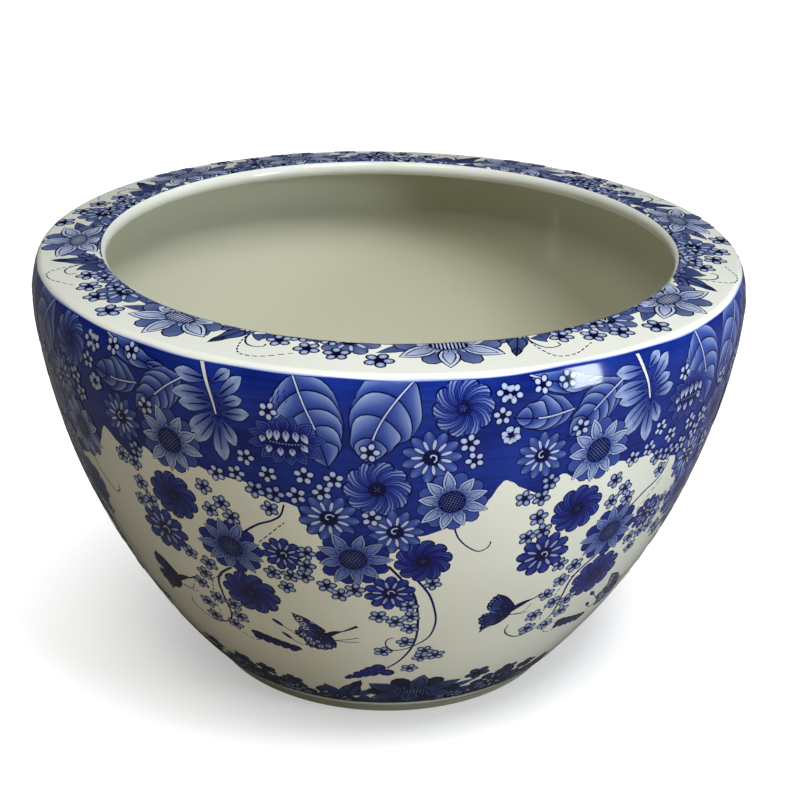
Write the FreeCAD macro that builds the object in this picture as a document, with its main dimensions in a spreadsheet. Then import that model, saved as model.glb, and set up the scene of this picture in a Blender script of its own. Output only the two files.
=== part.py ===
"""A large porcelain planter of the fish-bowl kind: a deep, open bowl on a low foot ring, with a turned-in shoulder
and a broad, nearly flat rim that reaches inwards over the mouth and ends in a rolled lip.

The fired pot is one piece of porcelain. It is built here the way a potter builds a bowl of this size: five
sections are thrown and turned by themselves, set on one another at level seams, and luted with slip before firing.
From the floor up these are the foot ring, the base dish, the lower wall, the upper wall and the rim.

Every section is turned about the Z axis. The origin is the centre of the foot ring's lower face, and Z points up.
All lengths are millimetres and all angles degrees.
"""

import FreeCAD, Part
import os
import Sketcher

OUT = "parts"

SIZES = [
    # The outline of the pot
    ("rim_height", 279.0),          # from the ground to the rim's outer edge
    ("body_radius", 228.0),         # the widest place, just under the rim
    ("shoulder_drop", 22.0),        # from the rim's edge down to the widest place
    ("shoulder_radius", 51.0),      # the arc that turns the wall in towards the rim
    ("turn_radius", 160.0),         # the short arc under the widest place
    ("turn_angle", 7.0),            # how far that arc turns before the long belly arc takes over
    ("wall", 10.0),                 # thickness of the walls, square to the surface
    # The rim
    ("rim_width", 42.5),            # from the rim's edge inwards to the mouth
    ("lip_radius", 6.0),            # the rolled lip, which is as thick as the rim's slab
    ("rim_slope", 4.5),             # the rim's upper face rises this much towards the lip
    ("rim_edge_radius", 5.0),       # rounding of the rim's outer edge
    ("rim_cove_radius", 8.0),       # rounding under the rim, where it leaves the wall
    # The base
    ("foot_radius", 118.5),         # the foot ring's lower outer edge
    ("foot_flare", 4.5),            # how much wider the ring is where it meets the dish
    ("foot_height", 6.0),           # depth of the hollow under the floor
    ("foot_width", 11.0),           # width of the ring's lower face, before its edges are rounded
    ("foot_edge_radius", 2.0),      # rounding of the ring's lower edges
    ("floor_thickness", 11.0),
    ("floor_cove_radius", 22.0),    # where the floor sweeps up into the wall
    ("drain_radius", 12.5),
    ("drain_edge_radius", 1.5),     # glaze-softened edges of the drain hole
    # The luting seams
    ("dish_height", 36.0),          # from the ground to the seam on top of the base dish
    ("lower_wall_height", 90.0),    # height of the lower wall section
]

EDGE_FIT_SHARE = 1e-5               # how near an edge lies to the place it is looked for, of the body's radius


def make_sheet(doc):
    """The spreadsheet that holds every driving size: its name, and its value under an alias of that name."""
    sheet = doc.addObject("Spreadsheet::Sheet", "Sizes")
    for row, (name, value) in enumerate(SIZES, start=1):
        sheet.set(f"A{row}", name)
        sheet.set(f"B{row}", str(value))
        sheet.setAlias(f"B{row}", name)
    doc.recompute()
    return sheet


def size(name):
    """How an expression reads one driving size."""
    return f"Sizes.{name}"


def worked_out(name):
    """How an expression reads one place or radius that follows from the driving sizes."""
    return f"Outline.{name}"


def make_outline(doc):
    """The places and radii that the sections share, worked out once from the driving sizes.

    The outside of the wall is two arcs. The first starts upright at the widest place and turns by turn_angle. The
    second, the belly, goes on from there without a kink and ends on top of the foot ring, which fixes its radius.
    """
    widest = f"({size('rim_height')} - {size('shoulder_drop')})"
    turn_cos = f"cos({size('turn_angle')})"
    turn_sin = f"sin({size('turn_angle')})"
    slope_cos = f"cos({size('rim_slope')})"
    slope_sin = f"sin({size('rim_slope')})"
    slope_tan = f"tan({size('rim_slope')})"
    across = f"({worked_out('join_r')} - {worked_out('foot_top_r')})"
    down = f"({worked_out('join_z')} - {size('foot_height')})"
    values = [
        ("widest_z", widest),
        ("belly_seam_z", f"{size('dish_height')} + {size('lower_wall_height')}"),
        ("foot_top_r", f"{size('foot_radius')} + {size('foot_flare')}"),
        ("floor_top_z", f"{size('foot_height')} + {size('floor_thickness')}"),
        # Centre of the shoulder arc, and where that arc reaches the rim's edge
        ("shoulder_centre_r", f"{size('body_radius')} - {size('shoulder_radius')}"),
        ("rim_edge_r", f"{worked_out('shoulder_centre_r')}"
                       f" + sqrt({size('shoulder_radius')} ^ 2 - {size('shoulder_drop')} ^ 2)"),
        # Centre of the short arc, and the point where the belly takes over
        ("turn_centre_r", f"{size('body_radius')} - {size('turn_radius')}"),
        ("join_r", f"{worked_out('turn_centre_r')} + {size('turn_radius')} * {turn_cos}"),
        ("join_z", f"{worked_out('widest_z')} - {size('turn_radius')} * {turn_sin}"),
        # The belly arc, tangent at the join and ending at the top of the foot ring
        ("belly_radius", f"({across} ^ 2 + {down} ^ 2) / (2 * ({across} * {turn_cos} - {down} * {turn_sin}))"),
        ("belly_centre_r", f"{worked_out('join_r')} - {worked_out('belly_radius')} * {turn_cos}"),
        ("belly_centre_z", f"{worked_out('join_z')} + {worked_out('belly_radius')} * {turn_sin}"),
        # The lip is a half round that both faces of the rim's slab run into without a kink
        ("mouth_r", f"{worked_out('rim_edge_r')} - {size('rim_width')}"),
        ("lip_centre_r", f"{worked_out('mouth_r')} + {size('lip_radius')}"),
        ("lip_top_r", f"{worked_out('lip_centre_r')} + {size('lip_radius')} * {slope_sin}"),
        ("lip_top_z", f"{size('rim_height')} + ({worked_out('rim_edge_r')} - {worked_out('lip_top_r')}) * {slope_tan}"),
        ("lip_centre_z", f"{worked_out('lip_top_z')} - {size('lip_radius')} * {slope_cos}"),
        ("lip_under_r", f"{worked_out('lip_centre_r')} - {size('lip_radius')} * {slope_sin}"),
        ("lip_under_z", f"{worked_out('lip_centre_z')} - {size('lip_radius')} * {slope_cos}"),
        # The inside of the wall at the widest place, and where the rim's underside meets it
        ("inside_r", f"{size('body_radius')} - {size('wall')}"),
        ("rim_under_z", f"{worked_out('lip_under_z')}"
                        f" - ({worked_out('inside_r')} - {worked_out('lip_under_r')}) * {slope_tan}"),
    ]
    outline = doc.addObject("App::VarSet", "Outline")
    for name, expression in values:
        outline.addProperty("App::PropertyFloat", name)
        outline.setExpression(name, expression)
        doc.recompute()
    return outline


def on_arc(centre_r, centre_z, radius, z):
    """The expression for the radius at height z on an arc that bulges away from the axis."""
    return f"{centre_r} + sqrt(({radius}) ^ 2 - ({z} - ({centre_z})) ^ 2)"


def belly(z, inset="0"):
    """The point of the belly at height z, on the outside or set in from it by inset."""
    radius = f"{worked_out('belly_radius')} - {inset}"
    return (on_arc(worked_out("belly_centre_r"), worked_out("belly_centre_z"), radius, z), z)


def turned(doc, label, corners, arcs):
    """A section of the pot: a closed outline in the XZ plane, turned once round the Z axis.

    corners are (radius, height) pairs of expressions. arcs gives, by the number of the corner that it starts at, an
    arc's centre and radius as expressions and whether it runs anticlockwise; all other sides are straight.
    """
    body = doc.addObject("PartDesign::Body", label)
    body.Label = label
    sketch = body.newObject("Sketcher::SketchObject", f"{label}_outline")
    plane = next(o for o in body.Origin.OriginFeatures if o.Role == "XZ_Plane")
    sketch.AttachmentSupport = (plane, [""])
    sketch.MapMode = "FlatFace"
    doc.recompute()

    def value(expression):
        return float(sketch.evalExpression(expression))

    points = [FreeCAD.Vector(value(r), value(z), 0) for r, z in corners]
    for number, start in enumerate(points):
        end = points[(number + 1) % len(points)]
        if number not in arcs:
            sketch.addGeometry(Part.LineSegment(start, end))
            continue
        (centre_r, centre_z), radius, anticlockwise = arcs[number]
        centre = FreeCAD.Vector(value(centre_r), value(centre_z), 0)
        first, last = (start, end) if anticlockwise else (end, start)
        circle = Part.Circle(centre, FreeCAD.Vector(0, 0, 1), value(radius))
        sketch.addGeometry(Part.ArcOfCircle(circle, circle.parameter(first), circle.parameter(last)))

    def ends(number):
        """The point numbers of the start and the end of a side: an arc that runs clockwise has them swapped."""
        return (2, 1) if number in arcs and not arcs[number][2] else (1, 2)

    for number in range(len(points)):
        following = (number + 1) % len(points)
        sketch.addConstraint(Sketcher.Constraint("Coincident", number, ends(number)[1], following, ends(following)[0]))
    for number, (r, z) in enumerate(corners):
        for kind, name, at, expression in (
            ("DistanceX", "r", points[number].x, r),
            ("DistanceY", "z", points[number].y, z),
        ):
            constraint = Sketcher.Constraint(kind, -1, 1, number, ends(number)[0], at)
            index = sketch.addConstraint(constraint)
            sketch.renameConstraint(index, f"{name}{number}")
            sketch.setExpression(f"Constraints.{name}{number}", expression)
    for number, ((centre_r, _), _, _) in arcs.items():
        index = sketch.addConstraint(Sketcher.Constraint("DistanceX", -1, 1, number, 3, value(centre_r)))
        sketch.renameConstraint(index, f"centre{number}")
        sketch.setExpression(f"Constraints.centre{number}", centre_r)
    revolution = body.newObject("PartDesign::Revolution", f"{label}_turned")
    revolution.Profile = sketch
    revolution.ReferenceAxis = (sketch, ["V_Axis"])
    revolution.Angle = 360
    doc.recompute()
    return body


def rounded(doc, body, places, radius):
    """Rounds the circular edges of a body that lie at the given (radius, height) places."""
    base = body.Tip

    def value(expression):
        return float(base.evalExpression(expression))

    wanted = [(value(r), value(z)) for r, z in places]
    near = EDGE_FIT_SHARE * value(size("body_radius"))
    edges = []
    for number, edge in enumerate(base.Shape.Edges, start=1):
        if not isinstance(edge.Curve, Part.Circle):
            continue
        at = (edge.Curve.Radius, edge.Curve.Center.z)
        if any(abs(at[0] - r) < near and abs(at[1] - z) < near for r, z in wanted):
            edges.append(f"Edge{number}")
    if len(edges) != len(wanted):
        raise RuntimeError(f"{body.Label}: {len(edges)} edges found for {len(wanted)} places")
    fillet = body.newObject("PartDesign::Fillet", f"{body.Name}_rounding_{len(body.Group)}")
    fillet.Base = (base, edges)
    fillet.setExpression("Radius", radius)
    body.Tip = fillet
    doc.recompute()
    return body


def make_foot_ring(doc):
    """The ring that the pot stands on. Its outer face carries on the line of the wall, a little steeper, and its
    lower face is the flat, unglazed seat."""
    inner = f"{size('foot_radius')} - {size('foot_width')}"
    corners = [
        (inner, "0"),
        (size("foot_radius"), "0"),
        (worked_out("foot_top_r"), size("foot_height")),
        (inner, size("foot_height")),
    ]
    ring = turned(doc, "foot_ring", corners, {})
    return rounded(doc, ring, corners[:2], size("foot_edge_radius"))


def make_base_dish(doc):
    """The floor and the start of the wall, with the drain hole in the middle and a wide cove inside."""
    top, floor_z = size("dish_height"), worked_out("floor_top_z")
    corners = [
        (size("drain_radius"), size("foot_height")),
        (worked_out("foot_top_r"), size("foot_height")),
        belly(top),
        belly(top, size("wall")),
        belly(floor_z, size("wall")),
        (size("drain_radius"), floor_z),
    ]
    centre = (worked_out("belly_centre_r"), worked_out("belly_centre_z"))
    arcs = {
        1: (centre, worked_out("belly_radius"), True),
        3: (centre, f"{worked_out('belly_radius')} - {size('wall')}", False),
    }
    dish = turned(doc, "base_dish", corners, arcs)
    dish = rounded(doc, dish, [corners[4]], size("floor_cove_radius"))
    return rounded(doc, dish, [corners[0], corners[5]], size("drain_edge_radius"))


def make_lower_wall(doc):
    """The wall between the base dish and the belly seam: one arc outside, and one inside it by the wall."""
    bottom, top = size("dish_height"), worked_out("belly_seam_z")
    corners = [belly(bottom), belly(top), belly(top, size("wall")), belly(bottom, size("wall"))]
    centre = (worked_out("belly_centre_r"), worked_out("belly_centre_z"))
    arcs = {
        0: (centre, worked_out("belly_radius"), True),
        2: (centre, f"{worked_out('belly_radius')} - {size('wall')}", False),
    }
    return turned(doc, "lower_wall", corners, arcs)


def make_upper_wall(doc):
    """The wall from the belly seam to the widest place, where it has turned upright."""
    seam, top = worked_out("belly_seam_z"), worked_out("widest_z")
    inner_join_r = f"{worked_out('join_r')} - {size('wall')} * cos({size('turn_angle')})"
    inner_join_z = f"{worked_out('join_z')} + {size('wall')} * sin({size('turn_angle')})"
    corners = [
        belly(seam),
        (worked_out("join_r"), worked_out("join_z")),
        (size("body_radius"), top),
        (worked_out("inside_r"), top),
        (inner_join_r, inner_join_z),
        belly(seam, size("wall")),
    ]
    belly_centre = (worked_out("belly_centre_r"), worked_out("belly_centre_z"))
    turn_centre = (worked_out("turn_centre_r"), top)
    arcs = {
        0: (belly_centre, worked_out("belly_radius"), True),
        1: (turn_centre, size("turn_radius"), True),
        3: (turn_centre, f"{size('turn_radius')} - {size('wall')}", False),
        4: (belly_centre, f"{worked_out('belly_radius')} - {size('wall')}", False),
    }
    return turned(doc, "upper_wall", corners, arcs)


def make_rim(doc):
    """The shoulder and the broad rim in one section: the wall turns in over the shoulder arc, and the rim's slab
    reaches inwards from it, rises gently and ends in the half-round lip."""
    widest = worked_out("widest_z")
    corners = [
        (size("body_radius"), widest),
        (worked_out("rim_edge_r"), size("rim_height")),
        (worked_out("lip_top_r"), worked_out("lip_top_z")),
        (worked_out("lip_under_r"), worked_out("lip_under_z")),
        (worked_out("inside_r"), worked_out("rim_under_z")),
        (worked_out("inside_r"), widest),
    ]
    arcs = {
        0: ((worked_out("shoulder_centre_r"), widest), size("shoulder_radius"), True),
        2: ((worked_out("lip_centre_r"), worked_out("lip_centre_z")), size("lip_radius"), True),
    }
    rim = turned(doc, "rim", corners, arcs)
    rim = rounded(doc, rim, [corners[1]], size("rim_edge_radius"))
    return rounded(doc, rim, [corners[4]], size("rim_cove_radius"))


def main():
    doc = FreeCAD.newDocument("planter")
    make_sheet(doc)
    make_outline(doc)
    sections = [
        make_foot_ring(doc),
        make_base_dish(doc),
        make_lower_wall(doc),
        make_upper_wall(doc),
        make_rim(doc),
    ]
    doc.recompute()
    for thing in doc.Objects:
        if {"Invalid", "Error"} & set(thing.State):
            raise RuntimeError(f"{thing.Name} did not build: {thing.State}")
    for section in sections:
        shape = section.Shape
        if shape.isNull() or not shape.isValid() or not shape.Solids:
            raise RuntimeError(f"{section.Label} has no valid solid")
    os.makedirs(OUT, exist_ok=True)
    for section in sections:
        section.Shape.exportStep(os.path.join(OUT, f"{section.Label}.step"))
        box = section.Shape.optimalBoundingBox()
        print(f"{section.Label}: {section.Shape.Volume / 1000:.1f} cm3,"
              f" radius {box.XMax:.2f} mm, height {box.ZMin:.2f} to {box.ZMax:.2f} mm")


main()
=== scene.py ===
# %% [markdown]
# # A blue-and-white porcelain planter
# The pot is a deep porcelain bowl with a broad rim, glazed inside and out and decorated with a cobalt blue
# print of flowers, leaves and butterflies. This lesson turns the clay sections with Geometry Nodes,
# engraves the print's motifs as flat drawings, wraps them round the glaze, and lights the pot like a pot in
# a studio.

# %% The frame
import bmesh
import bpy
import math
import random
from mathutils import Matrix, Vector


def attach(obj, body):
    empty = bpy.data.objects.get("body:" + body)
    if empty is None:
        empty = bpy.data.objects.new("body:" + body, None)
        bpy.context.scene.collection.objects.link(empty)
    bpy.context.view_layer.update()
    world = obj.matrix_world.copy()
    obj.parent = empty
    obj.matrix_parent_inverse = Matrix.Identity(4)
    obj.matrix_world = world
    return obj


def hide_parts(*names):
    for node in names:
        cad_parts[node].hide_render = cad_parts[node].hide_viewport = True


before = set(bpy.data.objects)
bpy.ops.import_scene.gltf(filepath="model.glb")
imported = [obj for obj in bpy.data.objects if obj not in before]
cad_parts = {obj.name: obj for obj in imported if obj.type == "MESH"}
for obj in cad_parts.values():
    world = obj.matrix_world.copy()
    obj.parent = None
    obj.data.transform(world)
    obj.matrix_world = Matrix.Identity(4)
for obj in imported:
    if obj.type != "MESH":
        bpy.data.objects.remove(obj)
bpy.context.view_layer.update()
MM = 0.001

# %% [markdown]
# Two small helpers are used everywhere. A colour is written as the sRGB hex value that a painter would
# pick, and Blender wants it linear. One function adds a node to a tree, sets its options and feeds its
# inputs, so that every material and every Geometry Nodes tree below reads as a list of nodes.

# %% Colours and nodes
def linear(hex_colour):
    """An sRGB hex value as linear red, green, blue and an alpha of 1."""
    channels = [int(hex_colour[i:i + 2], 16) / 255 for i in (1, 3, 5)]
    return [c / 12.92 if c <= 0.04045 else ((c + 0.055) / 1.055) ** 2.4 for c in channels] + [1.0]


def add(tree, kind, inputs=None, **options):
    """Adds a node. An input is fed by a socket or by a node's first output, or is given a value."""
    node = tree.nodes.new(kind)
    for name, value in options.items():
        setattr(node, name, value)
    for key, value in (inputs or {}).items():
        if isinstance(value, bpy.types.Node):
            value = value.outputs[0]
        if isinstance(value, bpy.types.NodeSocket):
            tree.links.new(value, node.inputs[key])
        else:
            node.inputs[key].default_value = value
    return node


print("white in linear light:", linear("#ffffff"))

# %% [markdown]
# The camera stands where the photographer stood: about a metre in front of the pot and looking down on it.
# Its place and turns were fitted to the ellipses of the rim, the lip and the foot. Three turns are easier
# to fit than a point to look at, so its axes are worked out from them.

# %% The camera
CAMERA_PLACE = (0.0, -1053.7, 624.9)    # mm
CAMERA_TURNS = (0.64, 23.61, 1.38)      # degrees: to the right, down, and rolled
CAMERA_LENS = 76.16                     # mm
SENSOR_WIDTH = 36.0                     # mm

yaw, pitch, roll = (math.radians(a) for a in CAMERA_TURNS)
ahead = Vector((math.sin(yaw) * math.cos(pitch), math.cos(yaw) * math.cos(pitch), -math.sin(pitch)))
level_right = Vector((math.cos(yaw), -math.sin(yaw), 0.0))
level_up = level_right.cross(ahead)
right = level_right * math.cos(roll) + level_up * math.sin(roll)
up = level_up * math.cos(roll) - level_right * math.sin(roll)
camera = bpy.data.objects.new("camera", bpy.data.cameras.new("camera"))
camera.data.lens = CAMERA_LENS
camera.data.sensor_width = SENSOR_WIDTH
camera.rotation_mode = "QUATERNION"
camera.rotation_quaternion = Matrix((right, up, -ahead)).transposed().to_quaternion()
camera.location = Vector(CAMERA_PLACE) * MM
bpy.context.scene.collection.objects.link(camera)
bpy.context.scene.camera = camera
print("camera at", [round(x, 3) for x in camera.location])

# %% [markdown]
# A glossy glaze shows the lights as shapes, so the bright ones are few and plain. A window low on the right
# leaves one patch on the shoulder, whose lower part is only a mirror image. Two soft boxes high above light
# the bowl steeply and leave its upper wall in the rim's shade. Four long boxes at floor height stand for
# pale walls: they fill the belly all round and leave no mirror image.

# %% A soft box
POT_MIDDLE = Vector((0.0, 0.0, 0.16))       # metres; every lamp faces it


def soft_box(name, bearing, height, distance, size, power, colour, mirrored=True, lights=True):
    """A rectangular lamp that faces the pot.

    Bearing is degrees to the right of straight in front of the pot, height is degrees above the pot's middle,
    distance and size are metres, and power is watts. A mirrored box leaves a mirror image in the glaze, and one
    that doesn't light adds nothing else.
    """
    side, climb = math.radians(bearing), math.radians(height)
    towards = Vector((math.sin(side) * math.cos(climb), -math.cos(side) * math.cos(climb), math.sin(climb)))
    lamp = bpy.data.lights.new(name, "AREA")
    lamp.shape = "RECTANGLE"
    lamp.size, lamp.size_y = size
    lamp.energy = power
    lamp.color = linear(colour)[:3]
    box = bpy.data.objects.new(name, lamp)
    box.visible_glossy = mirrored
    box.visible_diffuse = lights
    box.location = POT_MIDDLE + towards * distance
    box.rotation_mode = "QUATERNION"
    box.rotation_quaternion = towards.to_track_quat("Z", "Y")
    bpy.context.scene.collection.objects.link(box)


# %% The lamps
soft_box("window_light", 58, 16, 2.1, (0.34, 0.62), 16, "#eef8ff")
soft_box("window_sill", 58, 1.8, 2.1, (0.34, 0.43), 11, "#eef8ff", lights=False)
soft_box("upper_light", 36, 63, 2.4, (0.7, 0.7), 50, "#fafcff")
soft_box("upper_left_light", -20, 60, 2.4, (0.7, 0.7), 12, "#fff9ee")
soft_box("front_wall", 10, 0.5, 2.4, (1.8, 0.26), 20, "#fff4e0", mirrored=False)
soft_box("right_wall", 60, 0.5, 2.4, (1.8, 0.26), 13, "#dcecff", mirrored=False)
soft_box("back_wall", 165, 0.5, 2.4, (2.4, 0.26), 22, "#f2f6ff", mirrored=False)
soft_box("left_wall", -115, 0.5, 2.4, (2.4, 0.26), 10, "#fff6ea", mirrored=False)
print("lamps:", len(bpy.data.lights))

# %% [markdown]
# The backdrop is white to the camera and through glass, and all but black as a light, because a white world
# would wash out the shadows inside the bowl.

# %% The backdrop
world = bpy.data.worlds.new("studio")
world.use_nodes = True
bpy.context.scene.world = world
bpy.context.scene.view_settings.view_transform = "Standard"
tree = world.node_tree
tree.nodes.clear()
rays = add(tree, "ShaderNodeLightPath")
seen = add(tree, "ShaderNodeMath",
           {0: rays.outputs["Is Camera Ray"], 1: rays.outputs["Is Transmission Ray"]}, operation="MAXIMUM")
sky = add(tree, "ShaderNodeBackground", {"Color": linear("#eef1f6"), "Strength": 0.03})
backdrop = add(tree, "ShaderNodeBackground", {"Color": linear("#ffffff"), "Strength": 1.0})
mix = add(tree, "ShaderNodeMixShader", {0: seen, 1: sky, 2: backdrop})
add(tree, "ShaderNodeOutputWorld", {"Surface": mix})
print("world:", world.name)

# %% [markdown]
# The floor is brown card as far as its bounce on the pot goes. To the camera and in reflections it is
# paler, and it keeps the pot's shadow. The glow that whitens it takes over with the distance from the pot,
# so the shadow stays soft and near.

# %% The floor
FLOOR_REACH = 12.0              # metres from the pot to each side of the floor
SHADOW_REACH = (0.12, 0.34)     # metres from the pot's middle: where the glow starts and where it is full
MIRRORED_GLOW = 0.05            # how much of the pale floor a reflection shows

corners = [(x * FLOOR_REACH, y * FLOOR_REACH, 0) for x, y in ((-1, -1), (1, -1), (1, 1), (-1, 1))]
floor_mesh = bpy.data.meshes.new("floor")
floor_mesh.from_pydata(corners, [], [(0, 1, 2, 3)])
floor = bpy.data.objects.new("floor", floor_mesh)
bpy.context.scene.collection.objects.link(floor)
floor_paint = bpy.data.materials.new("matt card floor")
floor_paint.use_nodes = True
tree = floor_paint.node_tree
tree.nodes.clear()
rays = add(tree, "ShaderNodeLightPath")
clear = add(tree, "ShaderNodeMath",
            {0: rays.outputs["Is Camera Ray"], 1: rays.outputs["Is Transmission Ray"]}, operation="MAXIMUM")
pale = add(tree, "ShaderNodeMath",
           {0: rays.outputs["Is Glossy Ray"], 1: MIRRORED_GLOW, 2: clear}, operation="MULTIPLY_ADD")
card = add(tree, "ShaderNodeMix", {0: pale, 6: linear("#564f3e"), 7: linear("#f0f0f0")},
           data_type="RGBA")
paint = add(tree, "ShaderNodeBsdfDiffuse", {"Color": card.outputs[2]})
place = add(tree, "ShaderNodeTexCoord")
away = add(tree, "ShaderNodeVectorMath", {0: place.outputs["Object"]}, operation="LENGTH")
glowing = add(tree, "ShaderNodeMapRange",
              {0: away.outputs["Value"], 1: SHADOW_REACH[0], 2: SHADOW_REACH[1], 3: 0.28, 4: 0.88})
share = add(tree, "ShaderNodeMath", {0: pale, 1: glowing}, operation="MULTIPLY")
glow = add(tree, "ShaderNodeEmission", {"Color": linear("#ffffff"), "Strength": 1.4})
mixed = add(tree, "ShaderNodeMixShader", {0: share, 1: paint, 2: glow})
add(tree, "ShaderNodeOutputMaterial", {"Surface": mixed})
floor_mesh.materials.append(floor_paint)
print("floor:", 2 * FLOOR_REACH, "m wide")

# %% [markdown]
# The pot is turned, so one half of its section says everything about its shape. The outside is three arcs
# that flow into one another: the shoulder, a short arc under the widest place, and the long belly. All
# sizes are in mm, and a place on the section is a radius and a height.

# %% Sizes of the pot
RIM_HEIGHT = 279.0                  # from the ground to the rim's outer edge
BODY_RADIUS = 228.0                 # the widest place, just under the rim
SHOULDER_DROP = 22.0                # from the rim's edge down to the widest place
SHOULDER_RADIUS = 51.0              # the arc that turns the wall in towards the rim
TURN_RADIUS = 160.0                 # the short arc under the widest place
TURN_ANGLE = math.radians(7.0)      # how far that arc turns before the belly takes over
WALL = 10.0
RIM_WIDTH = 42.5                    # from the rim's edge inwards to the mouth
RIM_SLOPE = math.radians(4.5)       # the rim's upper face rises this much towards the lip
RIM_EDGE_ROUNDING = 5.0
RIM_COVE = 8.0                      # rounding under the rim, where it leaves the wall
LIP_RADIUS = 6.0
FOOT_RADIUS = 118.5                 # the foot ring's lower outer edge
FOOT_FLARE = 4.5                    # how much wider the ring is where it meets the dish
FOOT_HEIGHT = 6.0
FOOT_WIDTH = 11.0
FOOT_ROUNDING = 2.0
FLOOR_THICKNESS = 11.0
FLOOR_COVE = 22.0                   # where the floor sweeps up into the wall
DRAIN_RADIUS = 12.5
DRAIN_ROUNDING = 1.5
DISH_SEAM = 36.0                    # height of the luting seam on top of the base dish
WALL_SEAM = DISH_SEAM + 90.0        # and of the one on top of the lower wall
PRINT_DEPTH = 0.55                  # room for the print: the clay's outside lies this much inside its size
print("the pot is", 2 * BODY_RADIUS, "mm wide and", RIM_HEIGHT, "mm high at the rim's edge")

# %% [markdown]
# Where two arcs flow into one another, both centres and the meeting point lie on one line. So every centre
# follows from the sizes, and the wall stays smooth when one of them changes. The belly is the circle that
# carries on where the short arc ends, in the same direction, and passes the top of the foot.

# %% Circles of the section
# A circle is the radius and the height of its centre, and its own radius
WIDEST_Z = RIM_HEIGHT - SHOULDER_DROP
SHOULDER = (BODY_RADIUS - SHOULDER_RADIUS, WIDEST_Z, SHOULDER_RADIUS)
TURN = (BODY_RADIUS - TURN_RADIUS, WIDEST_Z, TURN_RADIUS)
turned_cos, turned_sin = math.cos(TURN_ANGLE), math.sin(TURN_ANGLE)
join = (TURN[0] + TURN_RADIUS * turned_cos, TURN[1] - TURN_RADIUS * turned_sin)
across = join[0] - FOOT_RADIUS - FOOT_FLARE
below = join[1] - FOOT_HEIGHT
belly_radius = (across ** 2 + below ** 2) / (2 * (across * turned_cos - below * turned_sin))
BELLY = (join[0] - belly_radius * turned_cos, join[1] + belly_radius * turned_sin, belly_radius)

SLOPE = (math.cos(RIM_SLOPE), -math.sin(RIM_SLOPE))         # outwards along the rim's upper face
RIM_FACES = (math.sin(RIM_SLOPE), math.cos(RIM_SLOPE))      # square to that face
RIM_EDGE_R = SHOULDER[0] + math.sqrt(SHOULDER_RADIUS ** 2 - SHOULDER_DROP ** 2)
lip_r = RIM_EDGE_R - RIM_WIDTH + LIP_RADIUS
lip_top_r = lip_r + LIP_RADIUS * RIM_FACES[0]
lip_top_z = RIM_HEIGHT + (RIM_EDGE_R - lip_top_r) * math.tan(RIM_SLOPE)
LIP_CENTRE = (lip_r, lip_top_z - LIP_RADIUS * RIM_FACES[1])
print("belly radius:", round(belly_radius, 1), "mm, lip's top:", round(lip_top_z, 1), "mm above the ground")

# %% [markdown]
# The outline of each clay section is written as lines and arcs. Each point also keeps the direction that
# the surface faces there, so that the gloss runs over the seams without a break.

# %% Lines and arcs
def between(a, b, share):
    """The point at a share of the way from a to b."""
    return (a[0] + (b[0] - a[0]) * share, a[1] + (b[1] - a[1]) * share)


def moved(point, direction, distance):
    """A point moved by a distance in a direction, which is a pair of numbers."""
    return (point[0] + direction[0] * distance, point[1] + direction[1] * distance)


def arc(centre, radius, start, end, sign=1, step=2.0):
    """Points of an arc between two angles, with the way they face: sign is 1 on a bulge and -1 in a hollow."""
    count = max(3, math.ceil(abs(end - start) * radius / step))
    points = []
    for i in range(count + 1):
        a = start + (end - start) * i / count
        c, s = math.cos(a), math.sin(a)
        points.append((centre[0] + radius * c, centre[1] + radius * s, sign * c, sign * s))
    return points


def line(a, b, facing, step=6.0):
    """Points of a straight run, with the way it faces."""
    count = max(1, math.ceil(math.dist(a, b) / step))
    return [(*between(a, b, i / count), *facing) for i in range(count + 1)]


def crossing(point, direction, centre, radius):
    """Where a line from a point inside a circle leaves it."""
    along = [point[i] - centre[i] for i in (0, 1)]
    b = along[0] * direction[0] + along[1] * direction[1]
    c = along[0] ** 2 + along[1] ** 2 - radius ** 2
    return moved(point, direction, -b + math.sqrt(b * b - c))


def belly(top, bottom, inset=PRINT_DEPTH, sign=1):
    """The belly's arc between two heights, set in by the print's depth or by the wall."""
    radius = BELLY[2] - inset
    start, end = (math.asin((z - BELLY[1]) / radius) for z in (top, bottom))
    return arc(BELLY, radius, start, end, sign)


def join_height(inset):
    """The height at which the short arc meets the belly, both set in by the same amount."""
    return TURN[1] - (TURN_RADIUS - inset) * turned_sin


print("the belly has", len(belly(join_height(PRINT_DEPTH), FOOT_HEIGHT)), "points")

# %% [markdown]
# The outside line starts on top of the lip, goes out over the rim and down the wall, and ends on the foot.
# The clay follows it, and so does the print, which starts a little further in, on the round of the lip.

# %% The outside line
ABOVE_RIM = math.pi / 2 - RIM_SLOPE         # the angle at which the rim's upper face looks
LIP_BODY_R = LIP_RADIUS - PRINT_DEPTH
SHOULDER_BODY_R = SHOULDER_RADIUS - PRINT_DEPTH
lip_top = moved(LIP_CENTRE, RIM_FACES, LIP_BODY_R)
lowered = moved(lip_top, RIM_FACES, -RIM_EDGE_ROUNDING)
edge_centre = crossing(lowered, SLOPE, SHOULDER, SHOULDER_BODY_R - RIM_EDGE_ROUNDING)
edge_top = moved(edge_centre, RIM_FACES, RIM_EDGE_ROUNDING)
edge_angle = math.atan2(edge_centre[1] - SHOULDER[1], edge_centre[0] - SHOULDER[0])
rim_top = line(lip_top, edge_top, RIM_FACES, 3.0)
rim_edge = arc(edge_centre, RIM_EDGE_ROUNDING, ABOVE_RIM, edge_angle, step=0.6)
shoulder = arc(SHOULDER, SHOULDER_BODY_R, edge_angle, 0, step=1.2)
turn = arc(TURN, TURN_RADIUS - PRINT_DEPTH, 0, -TURN_ANGLE)
wall_outside = [*turn[:-1], *belly(join_height(PRINT_DEPTH), FOOT_HEIGHT)]
foot_top = wall_outside[-1][:2]

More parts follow.
